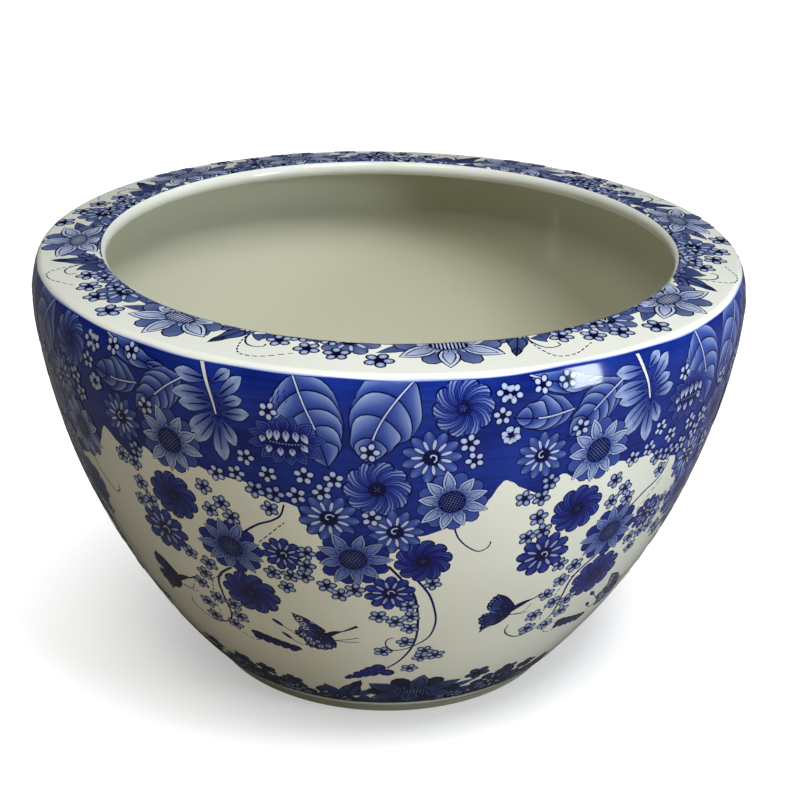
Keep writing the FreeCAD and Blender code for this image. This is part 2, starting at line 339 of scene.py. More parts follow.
LIP_START = math.radians(122)
lip_start = arc(LIP_CENTRE, LIP_BODY_R, LIP_START, ABOVE_RIM, step=0.5)
print_line = [*lip_start[:-1], *rim_top[:-1], *rim_edge[:-1], *shoulder[:-1], *wall_outside]
lengths = [0.0]
for a, b in zip(print_line, print_line[1:]):
    lengths.append(lengths[-1] + math.dist(a[:2], b[:2]))
# A place on the print is its distance down from the middle of the rim's rounded edge, negative on the rim
EDGE_AT = lengths[len(lip_start) + len(rim_top) - 2 + (len(rim_edge) - 1) // 2]


def pot_point(down):
    """Radius and height of the outside, down millimetres from the rim's edge along the surface."""
    at = min(max(down + EDGE_AT, 0.0), lengths[-1])
    i = next(k for k in range(1, len(lengths)) if lengths[k] >= at)
    share = (at - lengths[i - 1]) / (lengths[i] - lengths[i - 1])
    return between(print_line[i - 1], print_line[i], share)


print("print line: from", round(-EDGE_AT, 1), "to", round(lengths[-1] - EDGE_AT, 1), "mm")
for down in (-30, 0, 23, 100, 200, 300):
    print(down, "mm down: radius and height", [round(x, 1) for x in pot_point(down)])

# %% [markdown]
# A pot of this size is thrown in sections that are set on one another leather-hard. Each section's outline
# runs down the outside and comes back up the inside, so that turning it gives a closed body.

# %% Outlines of the rim and the walls
INSIDE_R = BODY_RADIUS - WALL
under_lip = moved(LIP_CENTRE, RIM_FACES, -LIP_BODY_R)
cove_r = INSIDE_R - RIM_COVE
cove_z = under_lip[1] - (cove_r - under_lip[0]) * math.tan(RIM_SLOPE) - RIM_COVE / math.cos(RIM_SLOPE)
lip = arc(LIP_CENTRE, LIP_BODY_R, ABOVE_RIM, ABOVE_RIM + math.pi, step=0.7)
cove = arc((cove_r, cove_z), RIM_COVE, ABOVE_RIM, 0, -1, 1.0)
under_rim = line(lip[-1][:2], cove[0][:2], (-RIM_FACES[0], -RIM_FACES[1]), 4.0)
below_cove = line(cove[-1][:2], (INSIDE_R, WIDEST_Z), (-1, 0))
over_rim = [*rim_top[:-1], *rim_edge[:-1], *shoulder]
inner_turn = arc(TURN, TURN_RADIUS - WALL, -TURN_ANGLE, 0, -1)
outlines = {
    "rim": [*over_rim[::-1], *lip[1:], *under_rim[1:-1], *cove, *below_cove[1:]],
    "upper_wall": [*turn[:-1], *belly(join_height(PRINT_DEPTH), WALL_SEAM),
                   *belly(WALL_SEAM, join_height(WALL), WALL, -1)[:-1], *inner_turn],
    "lower_wall": [*belly(WALL_SEAM, DISH_SEAM), *belly(DISH_SEAM, WALL_SEAM, WALL, -1)],
}
for name, points in outlines.items():
    print(name, "outline:", len(points), "points")

# %% [markdown]
# In the base dish the floor sweeps up into the wall, and the glaze has softened the edges of the drain
# hole. The foot ring was turned with a slight flare, and its lower edges are rounded so that they don't
# chip.

# %% Outlines of the dish and the foot
QUARTER = math.pi / 2
CORNER = 1.0                # from the dish's lower corner to the next point of its under face
FLOOR_Z = FOOT_HEIGHT + FLOOR_THICKNESS
drain_edge_r = DRAIN_RADIUS + DRAIN_ROUNDING
cove_centre = crossing((0, FLOOR_Z + FLOOR_COVE), (1, 0), BELLY, BELLY[2] - WALL - FLOOR_COVE)
cove_end = math.atan2(cove_centre[1] - BELLY[1], cove_centre[0] - BELLY[0])
cove_top_z = BELLY[1] + (BELLY[2] - WALL) * math.sin(cove_end)
outlines["base_dish"] = [
    *belly(DISH_SEAM, FOOT_HEIGHT),
    *line((foot_top[0] - CORNER, FOOT_HEIGHT), (drain_edge_r, FOOT_HEIGHT), (0, -1))[:-1],
    *arc((drain_edge_r, FOOT_HEIGHT + DRAIN_ROUNDING), DRAIN_ROUNDING, -QUARTER, -2 * QUARTER, step=0.4),
    *arc((drain_edge_r, FLOOR_Z - DRAIN_ROUNDING), DRAIN_ROUNDING, 2 * QUARTER, QUARTER, step=0.4),
    *line((drain_edge_r, FLOOR_Z), (cove_centre[0], FLOOR_Z), (0, 1))[1:-1],
    *arc(cove_centre, FLOOR_COVE, -QUARTER, cove_end, -1, 1.5),
    *belly(cove_top_z, DISH_SEAM, WALL, -1)[1:]]

flare = (foot_top[0] - FOOT_RADIUS, FOOT_HEIGHT)
flare_faces = (flare[1] / math.hypot(*flare), -flare[0] / math.hypot(*flare))
flare_angle = math.atan2(flare_faces[1], flare_faces[0])
outer_inset = FOOT_ROUNDING * (1 + math.sin(flare_angle)) / math.cos(flare_angle)
outer_round = (FOOT_RADIUS - outer_inset, FOOT_ROUNDING)
inner_round = (FOOT_RADIUS - FOOT_WIDTH + FOOT_ROUNDING, FOOT_ROUNDING)
outlines["foot_ring"] = [
    *line(foot_top, moved(outer_round, flare_faces, FOOT_ROUNDING), flare_faces, 1.5)[:-1],
    *arc(outer_round, FOOT_ROUNDING, flare_angle, -QUARTER, step=0.4),
    *arc(inner_round, FOOT_ROUNDING, -QUARTER, -2 * QUARTER, step=0.4),
    (FOOT_RADIUS - FOOT_WIDTH, FOOT_HEIGHT, -1, 0)]
for name in ("base_dish", "foot_ring"):
    print(name, "outline:", len(outlines[name]), "points")

# %% [markdown]
# The pot is white porcelain under a clear, glassy coat, which gives sharp reflections over a slightly cool,
# creamy white. The coat was poured, so its tone is cloudy, and it ripples very slowly where it ran in the kiln.
# Inside the bowl its colour is painted darker and olive grey, as painted shade for the enclosed bowl. One
# material does all of this, because the glaze is one coat: its place on the pot tells it which look to take.

# %% The glaze
def new_material(name, colour, roughness):
    """A material with one Principled shader. Returns the material, its tree and the shader."""
    material = bpy.data.materials.new(name)
    material.use_nodes = True
    tree = material.node_tree
    tree.nodes.clear()
    shader = add(tree, "ShaderNodeBsdfPrincipled",
                 {"Base Color": linear(colour), "Roughness": roughness, "IOR": 1.45})
    add(tree, "ShaderNodeOutputMaterial", {"Surface": shader})
    return material, tree, shader


GLAZE_ROUGHNESS = 0.09
glaze, tree, shader = new_material("clear porcelain glaze", "#dfe0d6", GLAZE_ROUGHNESS)
place = add(tree, "ShaderNodeTexCoord")
# Cloudy tone, about 80 mm across: the glaze is greener where it lies thicker
cloud = add(tree, "ShaderNodeTexNoise", {"Vector": place.outputs["Object"], "Scale": 12.0, "Detail": 2.0})
outer = add(tree, "ShaderNodeMix", {0: cloud, 6: linear("#d7d9cd"), 7: linear("#e5e7df")},
            data_type="RGBA")
# The lowest 3 mm of glaze beside the foot are grey
height = add(tree, "ShaderNodeSeparateXYZ", {0: place.outputs["Object"]})
grey_near_foot = add(tree, "ShaderNodeMapRange", {0: height.outputs["Z"], 1: 0.011, 2: 0.008, 3: 0.0, 4: 1.0})
glazed = add(tree, "ShaderNodeMix", {0: grey_near_foot, 6: outer.outputs[2], 7: linear("#9a9c90")},
             data_type="RGBA")
# A surface belongs to the bowl's inside when it looks back at the pot's axis
level_place = add(tree, "ShaderNodeVectorMath", {0: place.outputs["Object"], 1: (1.0, 1.0, 0.0)},
                  operation="MULTIPLY")
outwards = add(tree, "ShaderNodeVectorMath", {0: level_place, 1: place.outputs["Normal"]},
               operation="DOT_PRODUCT")
inside_shade_mask = add(tree, "ShaderNodeMapRange", {0: outwards.outputs["Value"], 1: 0.008, 2: -0.012, 3: 0.0, 4: 1.0})
# and when it lies below the lip, which is as white as the rim
below_lip = add(tree, "ShaderNodeMapRange", {0: height.outputs["Z"], 1: 0.2735, 2: 0.269, 3: 0.0, 4: 1.0})
painted_inside_shade = add(tree, "ShaderNodeMath", {0: inside_shade_mask, 1: below_lip}, operation="MULTIPLY")
# Inside the bowl the glaze is painted darker and olive grey: painted shade for the enclosed bowl
tone = add(tree, "ShaderNodeMix", {0: painted_inside_shade, 6: glazed.outputs[2], 7: linear("#cac9b5")},
           data_type="RGBA")
tree.links.new(tone.outputs[2], shader.inputs["Base Color"])
# Slow ripple of the glaze, about 30 mm from crest to crest and a few hundredths of a millimetre high
ripple = add(tree, "ShaderNodeTexNoise", {"Vector": place.outputs["Object"], "Scale": 33.0, "Detail": 1.0})
bump = add(tree, "ShaderNodeBump", {"Height": ripple, "Distance": 0.05 * MM, "Strength": 1.0})
tree.links.new(bump.outputs[0], shader.inputs["Normal"])
print("glaze:", len(tree.nodes), "nodes")

# %% [markdown]
# The foot was wiped clean before firing, or it would have stuck to the kiln's shelf. It is bare biscuit
# porcelain: matt, a little warmer than the glaze, stained by handling, and gritty to the touch. Its dark grey
# olive is painted shade, for the foot sits low by the floor.

# %% The bare foot
biscuit, tree, shader = new_material("biscuit porcelain", "#878874", 0.78)
place = add(tree, "ShaderNodeTexCoord")
# Grit of half a millimetre, drawn as 1 mm so that it shows
grit = add(tree, "ShaderNodeTexNoise", {"Vector": place.outputs["Object"], "Scale": 1000.0, "Detail": 2.0})
stain = add(tree, "ShaderNodeTexNoise", {"Vector": place.outputs["Object"], "Scale": 28.0, "Detail": 3.0})
# Both tones are darkened as painted shade; the noise between them is the stain of handling
tone = add(tree, "ShaderNodeMix", {0: stain, 6: linear("#767864"), 7: linear("#939584")},
           data_type="RGBA")
tree.links.new(tone.outputs[2], shader.inputs["Base Color"])
bump = add(tree, "ShaderNodeBump", {"Height": grit, "Distance": 0.12 * MM, "Strength": 0.7})
tree.links.new(bump.outputs[0], shader.inputs["Normal"])
print("materials:", [m.name for m in (glaze, biscuit)])

# %% [markdown]
# On the wheel a section is an outline that goes round. The Geometry Nodes tree does the same: a grid has
# one row of points for each step round and one column for each point of the outline, and each grid point is
# moved to its place on the circle. It also turns the stored facing direction, which becomes the surface
# normal afterwards.

# %% A tree that turns an outline
def socket(tree, name, kind, value=None):
    """A named input of a Geometry Nodes tree."""
    made = tree.interface.new_socket(name, in_out="INPUT", socket_type=kind)
    if value is not None:
        made.default_value = value


STEPS_ROUND = 480
turning = bpy.data.node_groups.new("turn an outline", "GeometryNodeTree")
socket(turning, "Outline", "NodeSocketGeometry")
socket(turning, "Steps round", "NodeSocketInt", STEPS_ROUND)
socket(turning, "Finish", "NodeSocketMaterial")
turning.interface.new_socket("Section", in_out="OUTPUT", socket_type="NodeSocketGeometry")
given = add(turning, "NodeGroupInput")
outline = given.outputs["Outline"]
size = add(turning, "GeometryNodeAttributeDomainSize", {0: outline})
columns = add(turning, "ShaderNodeMath", {0: size.outputs["Point Count"], 1: 1.0}, operation="ADD")
rows = add(turning, "ShaderNodeMath", {0: given.outputs["Steps round"], 1: 1.0}, operation="ADD")
grid = add(turning, "GeometryNodeMeshGrid",
           {"Size X": 1.0, "Size Y": 1.0, "Vertices X": rows, "Vertices Y": columns})
print("turning tree so far:", len(turning.nodes), "nodes")

# %% [markdown]
# The grid is one unit wide and lies about the origin, so a point's x plus a half is its share of the full
# turn, and its y plus a half is its share of the outline. The outline closes on itself, so the last column
# takes the first point again.

# %% From the grid to the circle
position = add(turning, "GeometryNodeInputPosition")
where = add(turning, "ShaderNodeSeparateXYZ", {0: position})
round_share = add(turning, "ShaderNodeMath", {0: where, 1: 0.5}, operation="ADD")
angle = add(turning, "ShaderNodeMath", {0: round_share, 1: 2 * math.pi}, operation="MULTIPLY")
along_share = add(turning, "ShaderNodeMath", {0: where.outputs[1], 1: 0.5}, operation="ADD")
along = add(turning, "ShaderNodeMath", {0: along_share, 1: size.outputs["Point Count"]},
            operation="MULTIPLY")
whole = add(turning, "ShaderNodeMath", {0: along}, operation="ROUND")
index = add(turning, "ShaderNodeMath", {0: whole, 1: size.outputs["Point Count"]},
            operation="FLOORED_MODULO")
spot = add(turning, "GeometryNodeSampleIndex", {0: outline, 1: position, 2: index},
           data_type="FLOAT_VECTOR")
named = add(turning, "GeometryNodeInputNamedAttribute", {0: "facing"}, data_type="FLOAT_VECTOR")
facing = add(turning, "GeometryNodeSampleIndex", {0: outline, 1: named, 2: index},
             data_type="FLOAT_VECTOR")
spot_at = add(turning, "ShaderNodeVectorRotate", {0: spot, 3: angle},
              rotation_type="Z_AXIS")
facing_at = add(turning, "ShaderNodeVectorRotate", {0: facing, 3: angle},
                rotation_type="Z_AXIS")
noted = add(turning, "GeometryNodeStoreNamedAttribute",
            {0: grid, 2: "facing", 3: facing_at},
            data_type="FLOAT_VECTOR", domain="POINT")
placed = add(turning, "GeometryNodeSetPosition", {0: noted, 2: spot_at})
closed = add(turning, "GeometryNodeMergeByDistance", {0: placed, 2: 0.001 * MM})
real = add(turning, "GeometryNodeRealizeInstances", {0: closed})
finish = add(turning, "GeometryNodeSetMaterial", {0: real, 2: given.outputs["Finish"]})
add(turning, "NodeGroupOutput", {0: finish})
print("turning tree:", len(turning.nodes), "nodes")

# %% [markdown]
# A tree is run as a modifier on a carrier object, whose evaluated mesh then becomes a plain one. The
# modifier's inputs are set by the identifiers of their sockets. The facing directions become custom
# normals, which Blender keeps on the plain mesh: shading alone would bend the gloss at every seam.

# %% Running a tree
def run_tree(tree, name, mesh, values):
    """Runs a tree on a mesh and returns the result as a plain object at the origin."""
    carrier = bpy.data.objects.new(name, mesh)
    bpy.context.scene.collection.objects.link(carrier)
    modifier = carrier.modifiers.new("made by", "NODES")
    modifier.node_group = tree
    sockets = {item.name: item.identifier for item in tree.interface.items_tree if item.in_out == "INPUT"}
    for label, value in values.items():
        modifier[sockets[label]] = value
    graph = bpy.context.evaluated_depsgraph_get()
    plain = bpy.data.meshes.new_from_object(carrier.evaluated_get(graph))
    plain.name = name
    carrier.modifiers.remove(modifier)
    carrier.data = plain
    return carrier


def face_as_noted(piece):
    """Turns the stored facing directions into the piece's normals, so that gloss follows the true curve."""
    mesh = piece.data
    noted = mesh.attributes["facing"]
    flat = [0.0] * (3 * len(mesh.vertices))
    noted.data.foreach_get("vector", flat)
    normals = [Vector(flat[i:i + 3]).normalized() for i in range(0, len(flat), 3)]
    mesh.attributes.remove(noted)
    mesh.shade_smooth()
    mesh.normals_split_custom_set_from_vertices(normals)


def volume(mesh):
    """The volume that a closed mesh takes up, in cubic metres. It is negative when the faces point inwards."""
    whole = bmesh.new()
    whole.from_mesh(mesh)
    value = whole.calc_volume(signed=True)
    whole.free()
    return value


print("a turned section has", STEPS_ROUND, "steps round")

# %% [markdown]
# Each section takes the place of its solid. Its outline is a ring of points that goes
# round the same way in all five, and a negative volume would show that the faces look inwards.

# %% The five clay sections
CM3 = 1e-6
for name, points in outlines.items():
    twice_area = sum(a[0] * b[1] - b[0] * a[1] for a, b in zip(points, points[1:] + points[:1]))
    ordered = points if twice_area < 0 else points[::-1]
    outline_mesh = bpy.data.meshes.new(name + "_outline")
    edges = [(i, (i + 1) % len(ordered)) for i in range(len(ordered))]
    outline_mesh.from_pydata([(p[0] * MM, 0, p[1] * MM) for p in ordered], edges, [])
    noted = outline_mesh.attributes.new("facing", "FLOAT_VECTOR", "POINT")
    noted.data.foreach_set("vector", [x for p in ordered for x in (p[2], 0, p[3])])
    bare = name == "foot_ring"
    section = run_tree(turning, name + "_turned", outline_mesh,
                       {"Steps round": STEPS_ROUND, "Finish": biscuit if bare else glaze})
    if volume(section.data) < 0:
        section.data.flip_normals()
    face_as_noted(section)
    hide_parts(name)
    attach(section, "root")
    print(name, "turned:", len(section.data.polygons), "faces,", round(volume(section.data) / CM3, 1), "cm3")

# %% [markdown]
# The decoration is a transfer print: motifs are engraved on a copper plate, printed on tissue in cobalt,
# and the tissue is laid on the clay in sheets that meet at seams. The same order works here. Each motif is
# drawn flat, in millimetres, with x to the right and y down. It is a set of patches and lines. Every point
# has a tone, from 0 for the darkest line to 1 for bare porcelain, and a level, because ink laid on ink
# stands a hair higher.

# %% The engraver's plate
LINE, INKY, DEEP, GROUND, WASH, TINT, PALE, BARE = 0.0, 0.04, 0.1, 0.2, 0.42, 0.62, 0.84, 1.0
LOST_AREA = 0.002           # mm2; a face smaller than this is left out


class Plate:
    """One engraved motif: patches and lines in mm, each point with a tone and a level."""

    def __init__(self):
        self.points, self.tones, self.levels, self.faces = [], [], [], []

    def point(self, place, tone, level):
        """Adds one point."""
        self.points.append(place)
        self.tones.append(tone)
        self.levels.append(level)

    def patch(self, rows, tone, level):
        """Faces over equal rows of points. tone is a number, or a function of the shares down and along."""
        first, wide = len(self.points), len(rows[0])
        for i, row in enumerate(rows):
            for j, place in enumerate(row):
                here = tone(i / (len(rows) - 1), j / (wide - 1)) if callable(tone) else tone
                self.point(place, here, level)
        for i in range(len(rows) - 1):
            for j in range(wide - 1):
                a = first + i * wide + j
                self.faces.append((a, a + 1, a + wide + 1, a + wide))

    def line(self, path, width, tone=LINE, level=3):
        """A stroke along a path. width is one number, or one for each point."""
        widths = width if isinstance(width, list) else [width] * len(path)
        sides = ([], [])
        for i, place in enumerate(path):
            a, b = path[max(i - 1, 0)], path[min(i + 1, len(path) - 1)]
            run = math.dist(a, b) or 1.0
            aside = ((a[1] - b[1]) / run, (b[0] - a[0]) / run)
            sides[0].append(moved(place, aside, widths[i] / 2))
            sides[1].append(moved(place, aside, -widths[i] / 2))
        self.patch(sides, tone, level)

    def disc(self, centre, radius, tone, level, middle=None, long=1.0, turn=0.0, sides=10):
        """A round spot, lengthened by long in the direction of turn. middle is the tone at its centre."""
        c, s = math.cos(turn), math.sin(turn)
        first = len(self.points)
        for k in range(sides):
            u = radius * long * math.cos(2 * math.pi * k / sides)
            v = radius * math.sin(2 * math.pi * k / sides)
            self.point((centre[0] + u * c - v * s, centre[1] + u * s + v * c), tone, level)
        if middle is None:
            self.faces.append(tuple(range(first, first + sides)))
            return
        self.point(centre, middle, level)
        for k in range(sides):
            self.faces.append((first + k, first + (k + 1) % sides, first + sides))

    def shape(self, outline, centre, tone, level, rings=3):
        """A filled outline: rings of points shrink towards its centre."""
        closed = [*outline, outline[0]]
        shares = [0.03 + 0.97 * i / rings for i in range(rings + 1)]
        self.patch([[between(centre, place, t) for place in closed] for t in shares], tone, level)

    def mesh(self, name):
        """The motif as a mesh in metres, wound so that its faces look outwards once they are on the pot."""
        faces = []
        for face in self.faces:
            corners = [self.points[i] for i in face]
            area = sum(a[0] * b[1] - b[0] * a[1] for a, b in zip(corners, corners[1:] + corners[:1])) / 2
            if abs(area) > LOST_AREA:
                faces.append(face if area < 0 else face[::-1])
        made = bpy.data.meshes.new(name)
        made.from_pydata([(x * MM, y * MM, 0) for x, y in self.points], [], faces)
        for label, values in (("tone", self.tones), ("level", self.levels)):
            made.attributes.new(label, "FLOAT", "POINT").data.foreach_set("value", values)
        return made


print("a plate holds patches, lines, discs and filled shapes")

# %% [markdown]
# Engraved lines never have corners, so a path is given by a few points and smoothed. The spline passes
# through every point that is given, which keeps a stem where it was read from the photo.

# %% Paths
def smooth(points, step=3.0):
    """A smooth path through a few points, with a point at least every step millimetres."""
    ends = [points[0], *points, points[-1]]
    path = []
    for a, b, c, d in zip(ends, ends[1:], ends[2:], ends[3:]):
        count = max(1, math.ceil(math.dist(b, c) / step))
        for i in range(count):
            t = i / count
            path.append(tuple(0.5 * (2 * b[k] + (c[k] - a[k]) * t
                                     + (2 * a[k] - 5 * b[k] + 4 * c[k] - d[k]) * t ** 2
                                     + (3 * b[k] - a[k] - 3 * c[k] + d[k]) * t ** 3) for k in (0, 1)))
    return [*path, points[-1]]


def way(angle, distance=1.0, start=(0.0, 0.0)):
    """The point at a distance from start in the direction of an angle."""
    return moved(start, (math.cos(angle), math.sin(angle)), distance)


print("a path through 3 points 10 mm apart:", len(smooth([(0, 0), (10, 0), (20, 5)])), "points")

# %% [markdown]
# Nearly everything on the print is a blade: a petal, a leaflet or a sepal. A blade is a small grid along a
# curved middle line whose width follows a rule: spoon-shaped for a daisy's petal, pointed for a
# sunflower's. Its outline is the same blade in the darkest tone, a little larger and one level lower, as an
# engraver cuts the contour first.

# %% Petals
def oval(t):
    """Half widths of a petal that is the same at both ends, for the shares t of its length."""
    return math.sqrt(max(0.0, 1 - (2 * t - 1) ** 2))


def spoon(t):
    """A petal that widens towards a round end."""
    return oval(t) * (0.62 + 0.5 * t)


def pointed(t):
    """A petal that is widest below its middle and ends in a point."""
    return math.sin(math.pi * t ** 0.8) ** 0.9 if 0 < t < 1 else 0.0


def blade(plate, base, heading, length, width, tone, level, form=pointed, rows=6, across=4, bend=0.0, edge=0.0):
    """A petal or leaflet from base in a heading. With an edge, a dark contour of that width lies below it."""
    if edge:
        start = way(heading, -edge, base)
        blade(plate, start, heading, length + 2 * edge, width + 2 * edge, LINE, level, form, rows, 2, bend)
        level += 1
    c, s = math.cos(heading), math.sin(heading)
    grid = []
    for i in range(rows + 1):
        t = (1 - math.cos(math.pi * i / rows)) / 2
        half = max(width / 2 * form(t), 0.1)
        x, y = t * length, bend * t * t * length
        sides = [y + half * (2 * j / across - 1) for j in range(across + 1)]
        grid.append([(base[0] + x * c - side * s, base[1] + x * s + side * c) for side in sides])
    plate.patch(grid, tone, level)


def fade(near, far, edge=None):
    """A tone that runs along a blade from near to far and, where edge is given, turns to it at both sides."""
    def tone(along, across):
        value = near + (far - near) * along
        return value if edge is None else value + (edge - value) * abs(2 * across - 1) ** 2
    return tone


print("blade forms:", [form.__name__ for form in (spoon, pointed, oval)])

# %% [markdown]
# The big leaves are engraved band by band. Veins arch out of the rib and down to the leaf's edge, and each
# band between two arches is tinted from light to dark. A grid of quads would need its veins drawn on top,
# so the arches themselves are the rows of the mesh, and the shading follows them.

# %% Veined leaves
VEIN_POINTS = 9
LAST_VEIN = 0.68            # where the last vein leaves the rib, as a share of the leaf's length


def leaf(plate, rib, left, right, bands=4, light=0.74, dark=0.25, level=0, stem=0.45, reach=0.5):
    """A veined leaf. rib is its middle line from stem to tip, left and right its half widths at even stations.

    The first arch is the leaf's own shoulder, which ends at reach, a share of the leaf's length. The rib is white
    as far as stem, another share.
    """
    middle = smooth(rib, 2.0)

    def half_width(values, u):
        at = min(max(u, 0.0), 1.0) * (len(values) - 1)
        i = min(int(at), len(values) - 2)
        t = at - i
        return values[i] + (values[i + 1] - values[i]) * t * t * (3 - 2 * t)

    def spot(u, side, share):
        at = min(max(u, 0.0), 1.0) * (len(middle) - 1)
        i = min(int(at), len(middle) - 2)
        a, b = middle[i], middle[i + 1]
        run = math.dist(a, b) or 1.0
        out = side * share * half_width(left if side < 0 else right, u)
        return moved(between(a, b, at - i), ((b[1] - a[1]) / run, (a[0] - b[0]) / run), out)

    def arch(number, side):
        start = LAST_VEIN * number / bands
        run = reach + (1 - reach) * number / bands - start
        shares = [j / VEIN_POINTS for j in range(VEIN_POINTS + 1)]
        return [spot(start + run * t ** 1.5, side, 1 - (1 - t) ** 2.5) for t in shares]

    def band_tone(down, along):
        return dark + (light - dark) * (1 - down) ** 0.8 * (0.3 + 0.7 * math.sin(math.pi * along ** 0.8))

    def tip_tone(down, along):
        return light - 0.1 + (dark - light) * 0.8 * down

    for side in (-1, 1):
        for k in range(bands):
            plate.patch([arch(k + quarter / 4, side) for quarter in range(5)], band_tone, level)
        last = arch(bands, side)
        tail = [spot(LAST_VEIN + (1 - LAST_VEIN) * (j / VEIN_POINTS) ** 1.7, side, 0.0)
                for j in range(VEIN_POINTS + 1)]
        plate.patch([last, [between(p, q, 0.5) for p, q in zip(last, tail)], tail], tip_tone, level)
        for k in range(bands + 1):
            plate.line(arch(k, side), [0.95 - 0.05 * j for j in range(VEIN_POINTS + 1)], LINE, level + 1)
        plate.line([spot(reach + (1 - reach) * u / 16, side, 1.0) for u in range(17)], 0.8, LINE, level + 1)
    split = int(len(middle) * stem)
    if split > 1:
        plate.line(middle[:split + 1], 1.9, LINE, level + 2)
        plate.line(middle[:split + 1], 0.9, PALE, level + 3)
    plate.line(middle[split:], 0.8, LINE, level + 2)


print("points along each vein:", VEIN_POINTS + 1)

# %% [markdown]
# Two small flowers fill the gaps of the print. The blossom is five oval petals about a dark star. The daisy
# has round petals with slim pale ones between them, and a curl of light in its dark heart.

# %% Blossoms and daisies
HEART_SHARE = 0.27          # the dark heart's radius as a share of the flower's


def blossom(tone, middle, star=1.3):
    """A small five-petalled blossom with a dark star at its heart."""
    plate = Plate()
    for k in range(5):
        a = 2 * math.pi * k / 5
        plate.disc(way(a, 3.55), 2.4, LINE, 0, long=1.12, turn=a, sides=9)
        plate.disc(way(a, 3.65), 1.6, tone, 1, middle, long=1.15, turn=a, sides=9)
        blade(plate, (0, 0), a + math.pi / 5, 3.6, star, LINE, 1, oval, 2, 1)
    plate.disc((0, 0), star * 1.15, LINE, 2, sides=7)
    return plate


def daisy(radius, count, near, far, slim):
    """A daisy. near and far are the tones at its petals' two ends, and slim is that of the petals between."""
    plate = Plate()
    heart = radius * HEART_SHARE
    width = 2 * math.pi * radius * 0.74 / count
    for k in range(count):
        a = 2 * math.pi * k / count
        blade(plate, way(a, heart * 0.8), a, radius - heart * 0.8 - 0.6, width, fade(near, far, near + 0.04),
              0, spoon, edge=0.55)
        b = a + math.pi / count
        blade(plate, way(b, heart * 1.1), b, radius * 0.37, radius * 0.115, fade(slim - 0.12, slim), 2,
              oval, 4, 2, edge=0.4)
    for k in range(16):
        length = heart * (0.75 + 0.2 * (k % 2))
        blade(plate, way(k, heart * 0.7), 2 * math.pi * k / 16, length, 1.3, LINE, 2, oval, 2, 1)
    plate.disc((0, 0), heart * 1.05, LINE, 3, sides=18)
    curl = [way(0.6 * k + 0.4, heart * (0.12 + 0.085 * k)) for k in range(8)]
    plate.line(smooth(curl, 1.2), 0.85, PALE, 4)
    return plate


print("a daisy:", len(daisy(17, 11, 0.2, 0.62, PALE).faces), "faces")

# %% [markdown]
# The pinwheel's petals all lean one way and are striped along their length. It is one patch that is bent
# round: its rows are rings, its columns are stripes, and a petal's round end is a bump in the outermost
# rings.

# %% The pinwheel
LIGHT_SHARES = (0.0, 0.5, 0.8, 0.1, 0.75, 1.0, 0.12, 0.85, 0.95, 0.1, 0.6, 0.0)     # across one petal
RING_SHARES = (0.0, 0.3, 0.6, 0.85, 0.96, 0.975, 1.0)                               # from the heart to the rim


def pinwheel(radius, count, dark, light):
    """A flower whose striped petals all lean one way, round a dark heart."""
    plate = Plate()
    heart = radius * HEART_SHARE
    columns = len(LIGHT_SHARES) - 1
    rows = []
    for t in RING_SHARES:
        row = []
        for k in range(count * columns + 1):
            u = (k % columns) / columns
            bump = 0.17 * math.sin(math.pi * u) ** 0.5 if 0 < u < 1 else 0.0
            rim = radius * (0.83 + bump) + (0.5 if t == 1.0 else 0.0)
            turned = 2 * math.pi * k / (count * columns) + 0.75 * t ** 1.2
            row.append(way(turned, heart * 0.8 + (rim - heart * 0.8) * t))
        rows.append(row)

    def tone(t, u):
        here = RING_SHARES[round(t * (len(RING_SHARES) - 1))]
        stripe = LIGHT_SHARES[round(u * count * columns) % columns]
        return LINE if here > 0.97 else dark + (light - dark) * stripe * (0.25 + 0.75 * here)

    plate.patch(rows, tone, 0)
    plate.disc((0, 0), heart, LINE, 1, sides=22)
    for x, y in ((0, 0), (1, 0), (-1, 0), (0, 1), (0, -1)):
        plate.disc((x * 1.3, y * 1.3), 0.45, WASH, 2, sides=5)
    return plate


print("a pinwheel:", len(pinwheel(17.5, 10, 0.05, 0.8).faces), "faces")

# %% [markdown]
# The large flowers have petals with a second contour inside the first, and a seed head that is
# cross-hatched so that small lozenges stay light. Hatching would be hundreds of lines, so the lozenges are
# laid on a dark disc instead.

# %% Seed heads and double petals
def hatched_disc(plate, radius, level, dots=WASH, flat=1.0, pitch=1.75):
    """A cross-hatched seed head. flat is its height to its width, and dots the tone of its lozenges."""
    plate.disc((0, 0), radius * flat, LINE, level, LINE, long=1 / flat, sides=26)
    reach = int(radius / pitch) + 1
    for i in range(-reach, reach + 1):
        for j in range(-reach, reach + 1):
            far = pitch * math.hypot(i, j) / radius
            if far < 0.86:
                plate.disc((pitch * i, pitch * j * flat), pitch * 0.33, dots + 0.25 * (1 - far), level + 1,
                           sides=4, turn=math.pi / 4)


def double_petal(plate, base, heading, length, width, level, light=PALE, line_tone=DEEP, edge=0.6):
    """A pointed pale petal with a second dark contour inside the first."""
    blade(plate, base, heading, length, width, fade(light - 0.15, light), level, pointed, 7, edge=edge)
    blade(plate, way(heading, length * 0.04, base), heading, length * 0.84, width * 0.74, line_tone, level + 2,
          across=2)
    blade(plate, way(heading, length * 0.05, base), heading, length * 0.78, width * 0.74 - 1.6 * edge,
          fade(light - 0.4, light), level + 3, across=2)


print("a double petal is four blades, one on another")

# %% [markdown]
# The sunflower looks straight at you, so its petals are even. The chrysanthemum is seen from one side: its
# head is flattened, and the petals behind it look shorter. No two petals of either are quite alike, as on a
# drawn flower.

# %% Sunflowers and chrysanthemums
def uneven(k):
    """A small number from 0 to 2 for petal k, which never repeats in its neighbour."""
    return k * 5 % 3


